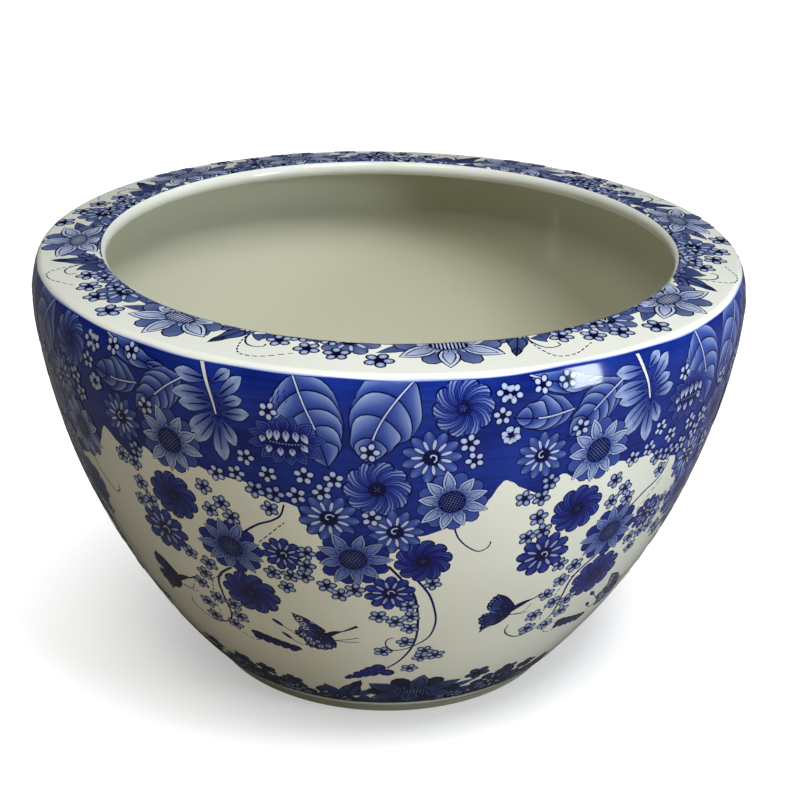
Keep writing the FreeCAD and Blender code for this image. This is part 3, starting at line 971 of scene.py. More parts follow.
def sunflower(radius, count, light, back):
    """Pale double-edged petals over broad dark ones, round a cross-hatched seed head."""
    plate = Plate()
    seed = radius * 0.36
    for k in range(count):
        a = 2 * math.pi * (k + 0.5) / count
        blade(plate, way(a, seed * 0.7), a, radius * 0.93 - seed * 0.7, radius * 0.46,
              fade(back - 0.1, back + 0.12), 0, spoon, edge=0.6)
    for k in range(count):
        a = 2 * math.pi * k / count + 0.06 * (uneven(k) - 1)
        length = radius * (1 - 0.06 * uneven(k)) - seed * 0.8
        double_petal(plate, way(a, seed * 0.8), a, length, radius * 0.33, 2, light)
    for k in range(2 * count):
        a = math.pi * (k + 0.5) / count
        blade(plate, way(a, seed * 0.8), a, seed * 0.62, seed * 0.4, fade(0.16, light - 0.08), 6,
              pointed, 4, 2, edge=0.5)
    hatched_disc(plate, seed, 8, 0.36, pitch=1.6)
    return plate


def chrysanthemum(light, back, dots):
    """A flower seen from one side: six pale petals over six dark ones, round a flat seed head 22 mm wide."""
    plate = Plate()

    def petal(a, share):
        """Where a petal at an angle starts, at a share of the head's size, and how long it looks."""
        start = (11 * share * math.cos(a), 5.5 * share * math.sin(a))
        return start, 21.5 - 8 * max(0.0, math.sin(a)) + 11 * (1 - share) * abs(math.cos(a))

    for k in range(6):
        a = math.pi * k / 3
        base, length = petal(a, 0.6)
        blade(plate, base, a, length * 0.88, 12.6, fade(back - 0.1, back + 0.14), 0, spoon, edge=1.0)
    for k in range(6):
        a = math.pi * (k + 0.5) / 3 + 0.08 * (uneven(k) - 1)
        base, length = petal(a, 0.75)
        double_petal(plate, base, a, length, 11.2, 2, light, LINE, 1.1)
    for k in range(16):
        a = math.pi * (k + 0.5) / 8
        base, length = petal(a, 0.85)
        blade(plate, base, a, length * 0.24, 2.6, fade(0.3, light), 6, pointed, 4, 2, edge=0.5)
    hatched_disc(plate, 11, 8, dots, flat=0.5, pitch=2.1)
    return plate


flowers = {
    "blossom_pale": blossom(0.74, 0.9),
    "blossom_grey": blossom(0.6, 0.84, 1.75),
    "blossom_dim": blossom(0.22, 0.46, 1.9),
    "daisy_blue": daisy(17, 11, 0.2, 0.62, PALE + 0.04),
    "daisy_dark": daisy(17, 10, 0.08, 0.42, 0.78),
    "daisy_grey": daisy(17, 9, 0.3, 0.58, 0.84),
    "pinwheel_blue": pinwheel(17.5, 10, 0.05, 0.8),
    "pinwheel_dark": pinwheel(17.5, 10, 0.02, 0.48),
    "sunflower_blue": sunflower(22, 9, PALE, 0.32),
    "sunflower_dark": sunflower(22, 9, 0.7, 0.14),
    "chrysanthemum": chrysanthemum(0.9, 0.38, 0.62),
    "chrysanthemum_dim": chrysanthemum(0.5, 0.1, 0.36),
}
for name, plate in flowers.items():
    print(name, "plate:", len(plate.faces), "faces")

# %% [markdown]
# The cobalt lies under the glaze, so it is as glossy as the white. Ink is a strong blue that turns nearly
# black where it lies thick, and pale where the hatching lets the white body through. A point's tone picks
# its colour from one ramp. The tone and the uneven density of the ink are kept as a UV map, so the colour
# is the same from every side and on every copy of a motif.

# %% The ink
INK_TONES = (LINE, DEEP, GROUND, WASH, TINT, PALE, BARE)
INK = ("#020538", "#070e58", "#10207a", "#394f98", "#6c80b4", "#adbadc", "#e2e4dc")
# The borders are printed in a duller, greyer blue. The one by the foot is darker still: partly denser
# ink, partly painted shade on the band that faces down by the floor
BORDER_INK = ("#03072a", "#0b133c", "#1a2754", "#475685", "#7a87ac", "#b6c1d8", "#e2e4dc")
FOOT_INK_AND_SHADE = ("#03061f", "#070d2b", "#101a40", "#31427a", "#6476a6", "#9aa6c0", "#e2e4dc")


def print_ink(name, flat, colours):
    """A print's ink: the tone kept in the print picks a colour. flat is the ink's colour without the ramp."""
    made, tree, shader = new_material(name, flat, GLAZE_ROUGHNESS)
    tones = add(tree, "ShaderNodeUVMap", uv_map="OFBake")
    split = add(tree, "ShaderNodeSeparateXYZ", {0: tones})
    ramp = add(tree, "ShaderNodeValToRGB", {0: split})
    for _ in range(len(colours) - 2):
        ramp.color_ramp.elements.new(0.5)
    for stop, at, colour in zip(ramp.color_ramp.elements, INK_TONES, colours):
        stop.position = at
        stop.color = linear(colour)
    density = add(tree, "ShaderNodeMapRange", {0: split.outputs[1], 3: 0.72, 4: 1.28})
    clouded = add(tree, "ShaderNodeHueSaturation", {"Color": ramp, "Value": density})
    tree.links.new(clouded.outputs[0], shader.inputs["Base Color"])
    return made


ink = print_ink("cobalt underglaze print", "#1c2c85", INK)
border_ink = print_ink("dull cobalt border print", "#2a3566", BORDER_INK)
# The foot's ink is darker partly as painted shade on the band by the floor
foot_ink_and_shade = print_ink("dark cobalt foot print", "#18203f", FOOT_INK_AND_SHADE)
print("inks:", [m.name for m in (ink, border_ink, foot_ink_and_shade)])

# %% [markdown]
# The plain blue between the flowers isn't printed but wiped on by hand, and it shows: clouds of about 40
# mm, and level streaks 2 mm high and 60 mm long. The streaks are a noise that is stretched by scaling its
# coordinates.

# %% The wiped ground
ground_ink, tree, shader = new_material("wiped cobalt ground", "#1c2c85", GLAZE_ROUGHNESS)
place = add(tree, "ShaderNodeTexCoord")
cloud = add(tree, "ShaderNodeTexNoise", {"Vector": place.outputs["Object"], "Scale": 24.0, "Detail": 2.0})
squeezed = add(tree, "ShaderNodeVectorMath", {0: place.outputs["Object"], 1: (16.0, 16.0, 420.0)},
               operation="MULTIPLY")
streak = add(tree, "ShaderNodeTexNoise", {"Vector": squeezed, "Scale": 1.0, "Detail": 2.0})
both = add(tree, "ShaderNodeMix", {0: 0.35, 2: cloud, 3: streak})
ramp = add(tree, "ShaderNodeValToRGB", {0: both})
for stop, at, colour in zip(ramp.color_ramp.elements, (0.36, 0.64), ("#0a1963", "#18318c")):
    stop.position = at
    stop.color = linear(colour)
tree.links.new(ramp.outputs[0], shader.inputs["Base Color"])
print("ground:", ground_ink.name)

# %% [markdown]
# Laying the tissue on the pot is a rule, so Geometry Nodes do it. The tree puts a copy of the motif on
# every given point, repeats the whole sheet round the pot, and then bends the flat sheet on to the outside
# line: y becomes a distance along that line, and x an angle. First come its named inputs.

# %% A tree that prints on the pot
SHEET_RADIUS = 225.0        # mm; turns the sheet's angles into flat distances for the anchors
BASE_LIFT = 0.05            # mm that the first layer of ink stands off the clay
LAYER_LIFT = 0.08           # mm more for each further layer
LEVEL_LIFT = 0.018          # mm more for each level within a motif
INPUTS = (
    ("Places", "Geometry", None), ("Motif", "Object", None), ("Outside line", "Object", None),
    ("Line to edge", "Float", EDGE_AT * MM), ("Sheet radius", "Float", SHEET_RADIUS * MM),
    ("Sheet angle", "Float", 1.0), ("Sheets", "Int", 1), ("First sheet", "Int", 0),
    ("Last seam", "Float", 100.0), ("Top", "Float", -1.0), ("Bottom", "Float", 1.0), ("Drift", "Float", 0.0),
    ("Ink", "Material", None))

printing = bpy.data.node_groups.new("print on the pot", "GeometryNodeTree")
for label, kind, value in INPUTS:
    socket(printing, label, "NodeSocket" + kind, value)
printing.interface.new_socket("Print", in_out="OUTPUT", socket_type="NodeSocketGeometry")
given = add(printing, "NodeGroupInput")
named = {label: add(printing, "GeometryNodeInputNamedAttribute", {0: label}, data_type="FLOAT")
         for label in ("turn", "size", "anchor", "layer", "level", "tone", "sheet")}
position = add(printing, "GeometryNodeInputPosition")
print("inputs of the printing tree:", [label for label, kind, value in INPUTS])

# %% [markdown]
# One sheet is the motif at all its places. The sheet is then copied on points that all lie at the origin,
# and each copy remembers its number, from which its turn round the pot follows.

# %% One sheet, and its copies
motif = add(printing, "GeometryNodeObjectInfo", {"Object": given.outputs["Motif"]})
turn_vector = add(printing, "ShaderNodeCombineXYZ", {2: named["turn"]})
rotation = add(printing, "FunctionNodeEulerToRotation", {0: turn_vector})
laid = add(printing, "GeometryNodeInstanceOnPoints",
           {"Points": given.outputs["Places"], "Instance": motif.outputs["Geometry"],
            "Rotation": rotation, "Scale": named["size"]})
one_sheet = add(printing, "GeometryNodeRealizeInstances", {0: laid})
starts = add(printing, "GeometryNodeMeshLine", {"Count": given.outputs["Sheets"], "Offset": (0.0, 0.0, 0.0)})
copies = add(printing, "GeometryNodeInstanceOnPoints",
             {"Points": starts, "Instance": one_sheet})
number = add(printing, "GeometryNodeInputIndex")
numbered = add(printing, "GeometryNodeStoreNamedAttribute",
               {0: copies, 2: "sheet", 3: number}, data_type="FLOAT", domain="INSTANCE")
sheets = add(printing, "GeometryNodeRealizeInstances", {0: numbered})
count = add(printing, "ShaderNodeMath", {0: named["sheet"], 1: given.outputs["First sheet"]}, operation="ADD")
sheet_turn = add(printing, "ShaderNodeMath", {0: count, 1: given.outputs["Sheet angle"]},
                 operation="MULTIPLY")
print("printing tree so far:", len(printing.nodes), "nodes")

# %% [markdown]
# A point's y is a distance along the outside line, and sampling that line there gives its radius, its
# height and the way the surface runs. A strip that is laid by hand wanders: it drifts on both ways from the
# front. What would pass the sheet's upper or lower limit is held at it.

# %% Down the outside line
DRIFT_END = math.radians(110)       # the drift is full this far round from the front
flat = add(printing, "ShaderNodeSeparateXYZ", {0: position})
rough_angle = add(printing, "ShaderNodeMath", {0: flat, 1: given.outputs["Sheet radius"]},
                  operation="DIVIDE")
from_front = add(printing, "ShaderNodeMath", {0: rough_angle, 1: sheet_turn},
                 operation="ADD")
off_front = add(printing, "ShaderNodeMath", {0: from_front}, operation="ABSOLUTE")
drifted = add(printing, "ShaderNodeMapRange",
              {0: off_front, 1: 0.0, 2: DRIFT_END, 3: 0.0, 4: given.outputs["Drift"]},
              interpolation_type="SMOOTHSTEP")
wandering = add(printing, "ShaderNodeMath", {0: flat.outputs[1], 1: drifted}, operation="ADD")
held = add(printing, "ShaderNodeClamp",
           {0: wandering, 1: given.outputs["Top"], 2: given.outputs["Bottom"]})
down = add(printing, "ShaderNodeMath", {0: held, 1: given.outputs["Line to edge"]}, operation="ADD")
outside = add(printing, "GeometryNodeObjectInfo", {"Object": given.outputs["Outside line"]})
curve = add(printing, "GeometryNodeMeshToCurve", {0: outside.outputs["Geometry"]})
sample = add(printing, "GeometryNodeSampleCurve", {"Curves": curve, "Length": down},
             mode="LENGTH", data_type="FLOAT")
spot = add(printing, "ShaderNodeSeparateXYZ", {0: sample.outputs["Position"]})
tangent = add(printing, "ShaderNodeSeparateXYZ", {0: sample.outputs["Tangent"]})
print("printing tree so far:", len(printing.nodes), "nodes")

# %% [markdown]
# A motif keeps its real width, because x is measured from the motif's own anchor and divided by the pot's
# radius at that height. The anchor and the sheet add their own angles, and the last sheet is cut off at the
# seam where it meets the first one.

# %% Round the pot
aside = add(printing, "ShaderNodeMath", {0: flat, 1: named["anchor"]}, operation="SUBTRACT")
turned_by = add(printing, "ShaderNodeMath", {0: aside, 1: spot}, operation="DIVIDE")
anchored = add(printing, "ShaderNodeMath", {0: named["anchor"], 1: given.outputs["Sheet radius"]},
               operation="DIVIDE")
part_angle = add(printing, "ShaderNodeMath", {0: turned_by, 1: anchored},
                 operation="ADD")
free_angle = add(printing, "ShaderNodeMath", {0: part_angle, 1: sheet_turn},
                 operation="ADD")
angle = add(printing, "ShaderNodeMath", {0: free_angle, 1: given.outputs["Last seam"]},
            operation="MINIMUM")
print("printing tree so far:", len(printing.nodes), "nodes")

# %% [markdown]
# Ink that lies on ink is lifted by its layer and its level, square to the surface, so that nothing flickers
# where two motifs share a place. Faces that were squeezed flat at a limit or a seam are deleted.

# %% Ink on ink
layer_lift = add(printing, "ShaderNodeMath", {0: named["layer"], 1: LAYER_LIFT * MM, 2: BASE_LIFT * MM},
                 operation="MULTIPLY_ADD")
lift = add(printing, "ShaderNodeMath", {0: named["level"], 1: LEVEL_LIFT * MM, 2: layer_lift},
           operation="MULTIPLY_ADD")
faces = add(printing, "ShaderNodeCombineXYZ", {1: tangent.outputs[2], 2: tangent})
radius = add(printing, "ShaderNodeMath", {0: spot, 1: -1.0}, operation="MULTIPLY")
on_line = add(printing, "ShaderNodeCombineXYZ", {1: radius, 2: spot.outputs[2]})
raised = add(printing, "ShaderNodeVectorMath",
             {0: faces, 1: lift, 2: on_line}, operation="MULTIPLY_ADD")
target = add(printing, "ShaderNodeVectorRotate", {0: raised, 3: angle},
             rotation_type="Z_AXIS")
facing = add(printing, "ShaderNodeVectorRotate", {0: faces, 3: angle},
             rotation_type="Z_AXIS")
noted = add(printing, "GeometryNodeStoreNamedAttribute",
            {0: sheets, 2: "facing", 3: facing},
            data_type="FLOAT_VECTOR", domain="POINT")
wrapped = add(printing, "GeometryNodeSetPosition", {0: noted, 2: target})
area = add(printing, "GeometryNodeInputMeshFaceArea")
lost = add(printing, "ShaderNodeMath", {0: area, 1: LOST_AREA * MM ** 2}, operation="LESS_THAN")
kept = add(printing, "GeometryNodeDeleteGeometry", {0: wrapped, 1: lost}, domain="FACE")
print("printing tree so far:", len(printing.nodes), "nodes")

# %% [markdown]
# The colour is stored last: the tone, and beside it the ink's uneven density, a noise with clouds of about
# 35 mm. They are the two numbers of a UV map, because that is what stays with a mesh wherever it goes.

# %% The print's own colour
clouds = add(printing, "ShaderNodeTexNoise", {"Vector": position, "Scale": 28.0, "Detail": 2.0})
palette = add(printing, "ShaderNodeCombineXYZ", {0: named["tone"], 1: clouds})
mapped = add(printing, "GeometryNodeStoreNamedAttribute",
             {0: kept, 2: "OFBake", 3: palette}, data_type="FLOAT2", domain="CORNER")
real = add(printing, "GeometryNodeRealizeInstances", {0: mapped})
finish = add(printing, "GeometryNodeSetMaterial", {0: real, 2: given.outputs["Ink"]})
add(printing, "NodeGroupOutput", {0: finish})
print("printing tree:", len(printing.nodes), "nodes")

# %% [markdown]
# Each motif is a helper object, and so is the outside line. The tree is run once for each motif, and
# its result is one piece that goes right round the pot. The sheets are given as the angle of one sheet, how
# many there are, which comes first, and where the seam on the left of sheet 0 lies, in degrees to the right
# of the front.

# %% Laying a motif
LINE_END = 290.0            # mm down; the sheets' lower limit, 9 mm above the foot's lower end

line_mesh = bpy.data.meshes.new("outside_line")
line_mesh.from_pydata([(p[0] * MM, 0, p[1] * MM) for p in print_line],
                      [(i, i + 1) for i in range(len(print_line) - 1)], [])
line_object = bpy.data.objects.new("outside_line", line_mesh)
bpy.context.scene.collection.objects.link(line_object)
helpers = [line_object]


def strip(step, count, first, seam, top, bottom, drift=0.0):
    """Inputs for a strip of sheets, each step degrees wide, between two distances down."""
    return {"Sheet angle": math.radians(step), "Sheets": count, "First sheet": first,
            "Last seam": math.radians(seam + first * step + 360),
            "Top": top * MM, "Bottom": bottom * MM, "Drift": drift * MM}


def places_mesh(name, places):
    """Points on the flat sheet. A place is angle, distance down, turn, size and layer."""
    made = bpy.data.meshes.new(name)
    across = [math.radians(p[0]) * SHEET_RADIUS * MM for p in places]
    made.from_pydata([(x, p[1] * MM, 0) for x, p in zip(across, places)], [], [])
    for label, values in (("anchor", across), ("turn", [p[2] for p in places]),
                          ("size", [p[3] for p in places]), ("layer", [float(p[4]) for p in places])):
        made.attributes.new(label, "FLOAT", "POINT").data.foreach_set("value", values)
    return made


def lay(name, plate, places, sheet, paint=ink):
    """Prints a motif at its places on every sheet round the pot, as one piece."""
    motif_object = bpy.data.objects.new(name + "_motif", plate.mesh(name + "_motif"))
    bpy.context.scene.collection.objects.link(motif_object)
    helpers.append(motif_object)
    piece = run_tree(printing, name, places_mesh(name, places),
                     {"Motif": motif_object, "Outside line": line_object, "Line to edge": EDGE_AT * MM,
                      "Sheet radius": SHEET_RADIUS * MM, "Ink": paint, **sheet})
    for label in named:
        spare = piece.data.attributes.get(label)
        if spare:
            piece.data.attributes.remove(spare)
    face_as_noted(piece)
    # Ink lies under the glaze, so it casts no shadow on the clay
    piece.visible_shadow = False
    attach(piece, "root")
    print(name, "printed:", len(piece.data.polygons), "faces")


SHEET_ANGLE = 64.2
FIRST_SEAM = -47.2
WALL_SHEET = strip(SHEET_ANGLE, 6, -1, FIRST_SEAM, 3.0, LINE_END)
WHOLE_TURN = {**strip(0.0, 1, 0, 0.0, -12.0, LINE_END), "Last seam": 10.0}     # no seam within the full turn
AS_DRAWN = [(0, 0, 0, 1, 0)]                                                   # one place, at the sheet's zero
print("wall sheets:", WALL_SHEET["Sheets"], "of", SHEET_ANGLE, "degrees")

# %% [markdown]
# The ground is one band of plain blue right round the pot. It starts just under the rim's edge and ends in
# a festoon that is the same on every sheet: high peaks where two sheets meet, and long lobes between them.
# It is a grid whose upper and lower edges follow two functions of the angle.

# %% The blue ground
# The festoon's lower edge: angles round the pot and distances down
FESTOON = (
    (-47.2, 65), (-45.7, 68), (-45, 71), (-44, 73), (-41, 80), (-39.5, 76), (-38.8, 70), (-38.5, 67),
    (-37.5, 67.5), (-36, 72), (-33, 76), (-29, 70), (-28, 68.5), (-27, 69.5), (-26, 71), (-22.5, 72),
    (-20.5, 72), (-19, 76),
    (-17.5, 81), (-16.5, 83), (-14.5, 82), (-12.7, 84.5), (-12.2, 95), (-10, 103), (-8.8, 106), (-8, 112),
    (-4, 118), (1, 114), (4, 102), (6, 101), (8.5, 97), (12.5, 90), (14, 82), (15.3, 76), (16, 70), (17, 65))
GROUND_COLUMNS = 900
SHOULDER_ROWS, WALL_ROWS = 24, 16
BEND_END = 26.0             # mm down; the tight curve of the shoulder is above it


def festoon(angle):
    """How far down the ground reaches at an angle round the pot."""
    local = (angle - FIRST_SEAM) % SHEET_ANGLE + FIRST_SEAM
    for a, b in zip(FESTOON, FESTOON[1:]):
        if local <= b[0]:
            return between(a, b, (local - a[0]) / (b[0] - a[0]))[1]
    return FESTOON[-1][1]


def paint_line(angle):
    """Where the blue starts: about 2.5 mm below the edge, and a little higher in one stretch."""
    away = abs((angle - 30 + 180) % 360 - 180) / 24
    hand = 0.25 * math.sin(math.radians(angle) * 9) + 0.2 * math.sin(math.radians(angle) * 23 + 1)
    return 2.6 + hand - 1.6 * (0.5 + 0.5 * math.cos(math.pi * away) if away < 1 else 0.0)


def round_row(distance_at):
    """A row of points right round the flat sheet, at a distance down that is a function of the angle."""
    row = []
    for j in range(GROUND_COLUMNS + 1):
        angle = 360 * j / GROUND_COLUMNS - 180
        down = distance_at(angle)
        row.append((math.radians(angle) * pot_point(down)[0], down))
    return row


def ground_row(i):
    """Row i of the ground: short steps over the shoulder, longer ones below it."""
    bent = min(i / SHOULDER_ROWS, 1) ** 1.5
    sunk = max(0, i - SHOULDER_ROWS) / WALL_ROWS
    return round_row(lambda angle: paint_line(angle) + (BEND_END - paint_line(angle)) * bent
                     + (festoon(angle) - BEND_END) * sunk)


ground = Plate()
ground.patch([ground_row(i) for i in range(SHOULDER_ROWS + WALL_ROWS + 1)], GROUND, -1)
lay("cobalt_ground", ground, AS_DRAWN, WHOLE_TURN, ground_ink)

# %% [markdown]
# A damp sponge has wiped the edge of the blue, so a thin, pale film of it reaches a few millimetres further
# up and fades out. The film is a strip with its own tones, from full blue to bare porcelain.

# %% The wiped edge
# Each row of the film: millimetres further down than the blue's edge, and the tone
FILM = ((-1.5, BARE), (-1.1, 0.94), (-0.7, 0.86), (-0.3, 0.78), (0.0, 0.45), (0.3, GROUND))


def film_row(further):
    """One row of the film, which is wider in places where the sponge pressed less."""
    return round_row(lambda angle: paint_line(angle) + further
                     * (1 + 0.35 * math.sin(math.radians(angle) * 17) if further < 0 else 1))


wiped = Plate()
wiped.patch([film_row(further) for further, tone in FILM],
            lambda down, along: FILM[round(down * (len(FILM) - 1))][1], 0)
lay("wiped_edge", wiped, AS_DRAWN, WHOLE_TURN)

# %% [markdown]
# The flowers of the sheet. Their places were read from the photo as an angle round the pot and a distance
# down from the rim's edge. Each gets its own turn, so that no two look stamped, and a layer that says what
# lies on what.

# %% The wall's large flowers
random.seed(8)


def scattered(spots, layer):
    """Places with a turn of their own each. A spot is angle, distance down and, where it isn't 1, size."""
    return [(s[0], s[1], random.uniform(0, 2 * math.pi), (*s, 1.0)[2] * random.uniform(0.94, 1.06), layer)
            for s in spots]


for name, flower, layer, spots in (
        ("pinwheels_blue", "pinwheel_blue", 1, ((10.3, 18, 0.93), (-1.2, 68, 1.05))),
        ("pinwheels_dark", "pinwheel_dark", 1, ((-34, 96), (6, 121, 0.97), (-23.5, 163, 1.06))),
        ("daisies_blue", "daisy_blue", 2, ((6.2, 47), (-8.2, 90), (1.5, 98), (-42, 52, 0.95))),
        ("daisies_dark", "daisy_dark", 2, ((-38.2, 127), (-16, 122, 0.82), (1, 148, 0.85))),
        ("sunflowers_blue", "sunflower_blue", 3, ((9.5, 77, 0.96), (-32.5, 56))),
        ("sunflowers_dark", "sunflower_dark", 3, ((-4.8, 120), (-25, 124)))):
    lay(name, flowers[flower], scattered(spots, layer), WALL_SHEET)

# %% [markdown]
# The little blossoms are strewn between the large flowers: pale ones on the blue, and greyer ones on the
# white, where pale ones would be lost.

# %% The wall's blossoms
ON_BLUE = (
    (16.2, 11), (15.7, 24), (17, 36), (-2.3, 44), (11.3, 39), (12.2, 50), (-11.5, 62), (-7.3, 63), (-9, 72),
    (-12.8, 76), (-47, 12), (-42.7, 9), (-38.8, 8), (-47, 36), (-36.3, 38), (-16.3, 24), (-20, 55),
    (-16.8, 64), (-2, 88), (-25, 70), (-21.7, 67))
ON_WHITE = (
    (-19, 76), (-16, 77), (-17, 88), (-40, 71), (-43.8, 80), (-41, 81.5), (-27.7, 82), (-25, 91), (-27.2, 98),
    (-23.6, 100), (-40.8, 96), (-39.5, 107), (-42, 110), (-12, 118), (-12.3, 129), (-18.2, 139), (-15.2, 139),
    (-12.8, 138), (-16.2, 150), (-9.3, 144), (-7.2, 151), (-4.7, 146), (7.8, 140), (4.3, 160), (4.8, 170),
    (2.2, 175), (4.8, 182), (-0.8, 170), (4.3, 197), (0, 208), (8.2, 208), (7.7, 216), (10.6, 214), (5.7, 230),
    (-34, 140), (-30.5, 145), (-32.3, 156), (-34.2, 167), (-31.7, 178), (-28.3, 180), (-35, 187), (-28, 192),
    (-35, 201), (-30.3, 203))
lay("blossoms_on_blue", flowers["blossom_pale"], scattered(ON_BLUE, 4), WALL_SHEET)
lay("blossoms_on_white", flowers["blossom_grey"], scattered(ON_WHITE, 4), WALL_SHEET)

# %% [markdown]
# Leaves, stems and butterflies are drawn straight on to the sheet, each round an anchor of its own. Their
# control points are angles and distances down, and a helper turns them into millimetres about the anchor.
# All drawings of one kind are then joined into one plate, which lies on the sheet as it is.

# %% Drawing on the sheet
def on_sheet(anchor, spots):
    """Angles and distances down as millimetres about an anchor that is given the same way."""
    return [(math.radians(s[0] - anchor[0]) * pot_point(s[1])[0], s[1] - anchor[1]) for s in spots]


def lay_drawing(name, drawings):
    """Lays drawings that have one place each. A drawing is its anchor, its layer and its plate."""
    whole = Plate()
    for anchor, layer, plate in drawings:
        first = len(whole.points)
        for (x, y), tone, level in zip(plate.points, plate.tones, plate.levels):
            # A point keeps its angle when its sideways distance is measured from the sheet's zero instead
            down = y + anchor[1]
            place = (math.radians(anchor[0]) * pot_point(down)[0] + x, down)
            whole.point(place, tone, level + layer * LAYER_LIFT / LEVEL_LIFT)
        whole.faces += [tuple(first + i for i in face) for face in plate.faces]
    lay(name, whole, AS_DRAWN, WALL_SHEET)


def drawn_leaf(rib, left, right, layer=1, **settings):
    """A veined leaf whose rib is given on the sheet, as a drawing."""
    plate = Plate()
    leaf(plate, on_sheet(rib[0], rib), left, right, **settings)
    return (rib[0], layer, plate)


print("a degree is", round(on_sheet((0, 30), [(1, 30)])[0][0], 2), "mm wide near the rim")

# %% [markdown]
# Five of the leaves on the blue are veined: two heart-shaped ones that hang from the rim, two long ones
# above the left sunflower, and one that lies along the rim. Each is a rib and its half widths to the left
# and the right.

# %% Veined leaves on the ground
leaves = [
    drawn_leaf([(-13.1, 2), (-11.3, 18), (-9.7, 32), (-8.8, 44), (-7.9, 56)],
               (14, 24, 22, 12, 0), (16, 19, 17, 12, 0), stem=0.55),
    drawn_leaf([(3.6, 2), (1, 14), (-1, 27), (-2.1, 40), (-2.3, 53)],
               (12, 21, 18, 12, 0), (10, 19, 19, 12, 0), bands=3, stem=0.7),
    drawn_leaf([(-37.7, 25.5), (-42.2, 28), (-46.9, 26)],
               (5, 12, 14, 9, 0), (3, 7, 8, 6, 0), bands=3, stem=0.6),
    drawn_leaf([(-29.4, 14), (-32, 21), (-34.4, 29), (-38.4, 43)],
               (4, 12, 13, 9, 0), (3, 11, 12, 8, 0), layer=1.6, stem=0.55),
    drawn_leaf([(-44.5, 3), (-41, 8), (-36, 12), (-31.5, 12)],
               (3, 6, 6, 3, 0), (3, 7, 7, 4, 0), bands=2, stem=0.2),
]
print("veined leaves:", len(leaves))

# %% [markdown]
# The sixth leaf is fingered like a fern's: eleven lobes leave one stalk, each with a rib of its own. A lobe
# is a blade whose width swells late, so that neighbours touch at their tips and leave the ground open at
# the stalk.

# %% The fingered leaf
FINGER_BASE = (-23.7, 29)
# Each lobe: where it leaves the stalk, its tip, and its width in mm
FINGERS = (
    ((-25.2, 12), (-30.7, 13), 8.2), ((-24.8, 20), (-31.2, 21), 8.0), ((-24.4, 25.5), (-29.9, 31), 8.6),
    ((-24.2, 30), (-29, 44), 8.8), ((-24, 33), (-27.4, 53), 8.6), ((-23.7, 35), (-23.9, 60), 9.4),
    ((-23.4, 33), (-20.9, 48), 7.6), ((-23.2, 30), (-19, 29.5), 7.6), ((-23.4, 25), (-20.2, 18.5), 6.6),
    ((-23.9, 21), (-20, 9), 8.0), ((-24.6, 13), (-22.3, 4), 7.0))


def lobe(t):
    """Half widths of a lobe that swells late and ends round."""
    return 0.28 * (1 - t) + 0.9 * math.sin(math.pi * t ** 1.7) ** 0.85 if t < 1 else 0.0


def lobe_tone(t, across):
    """A lobe's tone: dark at the stalk, and lighter from its middle line outwards."""
    return 0.18 + 0.58 * min(1.0, t * 1.5) ** 1.3 * (0.8 + 0.2 * abs(2 * across - 1))


fingered = Plate()
for number, (root, tip, width) in enumerate(FINGERS):
    start, end = on_sheet(FINGER_BASE, [root, tip])
    heading = math.atan2(end[1] - start[1], end[0] - start[0])
    length = math.dist(start, end)
    sway = (-1) ** number
    blade(fingered, start, heading, length, width, lobe_tone, 0, lobe, 9, bend=0.1 * sway, edge=0.6)
    rib = [way(heading + 0.06 * sway, length * share, start) for share in (0.15, 0.3, 0.45, 0.6, 0.74)]
    fingered.line(rib, [1.2, 1.1, 0.9, 0.7, 0.4], LINE, 2)
stalk = smooth(on_sheet(FINGER_BASE, [(-26.6, 2), (-25.6, 12), (-24.6, 22), (-24.0, 31)]), 2.5)
for wide, slimmer, tone, level in ((3.6, 1.8, LINE, 3), (2.4, 1.6, 0.95, 4)):
    fingered.line(stalk, [wide - slimmer * i / len(stalk) for i in range(len(stalk))], tone, level)
lay_drawing("leaves", [*leaves, (FINGER_BASE, 2, fingered)])

# %% [markdown]
# The lotus is seen from the side: thirteen double petals fan out from an open heart, and white florets hang
# into it and fan out from it below. Its petals are longer sideways than up and down, so they start and end
# on two ovals.

# %% The lotus in profile
PETAL_ANGLES = (-11, -50, -80, -96, -113, -139, -163, 166, 130, 107, 83, 60, 32)      # degrees; 90 points down
# Each floret: x and y, how far it leans, and its length
FLORETS = ((-8.9, -6.4, 0.1, 6.4), (-4.8, -6.8, 0.05, 6.8), (0.2, -6.9, 0.0, 7.0), (5.2, -6.6, -0.15, 6.2),
           (9.0, -5.6, -0.5, 6.4), (-13, -2.4, 0.15, 4.4), (-9.4, 3.4, 0.15, 5.0), (-3.2, 4.2, 0.0, 5.2),
           (3.2, 4.0, -0.1, 4.8), (8.6, 1.2, -0.7, 5.4))
lotus = Plate()
for number, degrees in enumerate(PETAL_ANGLES):
    c, s = math.cos(math.radians(degrees)), math.sin(math.radians(degrees))
    start, tip = (10.5 * c, 6.2 * s), (22.5 * c, 15.5 * s)
    heading = math.atan2(tip[1] - start[1], tip[0] - start[0])
    width = 7.4 if abs(c) < 0.9 else 6.6
    double_petal(lotus, start, heading, math.dist(start, tip), width, 4 * (number % 2), 0.42, LINE)
lotus.disc((0, 0), 7.6, DEEP, 8, LINE, long=1.6, sides=24)
for x, y, lean, length in FLORETS:
    heading = math.pi / 2 + lean
    blade(lotus, (x, y), heading, length, 3.9, fade(0.5, 0.98), 9, edge=0.4)
    lotus.line([(x, y + 0.4), way(heading, length * 0.45, (x, y))], [0.9, 0.3], LINE, 11)
for x in range(-5, 6):
    lotus.disc((x * 1.75, 1.7 - 0.03 * x * x), 0.55, TINT, 9, sides=6)
lay("lotuses", lotus, [(-13.8, 41, 0.0, 1, 3)], WALL_SHEET)

# %% [markdown]
# Below the flowers the sheet runs out in long, trailing stems and tendrils, some of them dashed, as if
# stippled with a needle. A stem is a smooth line that gets thinner or thicker from one end to the other.

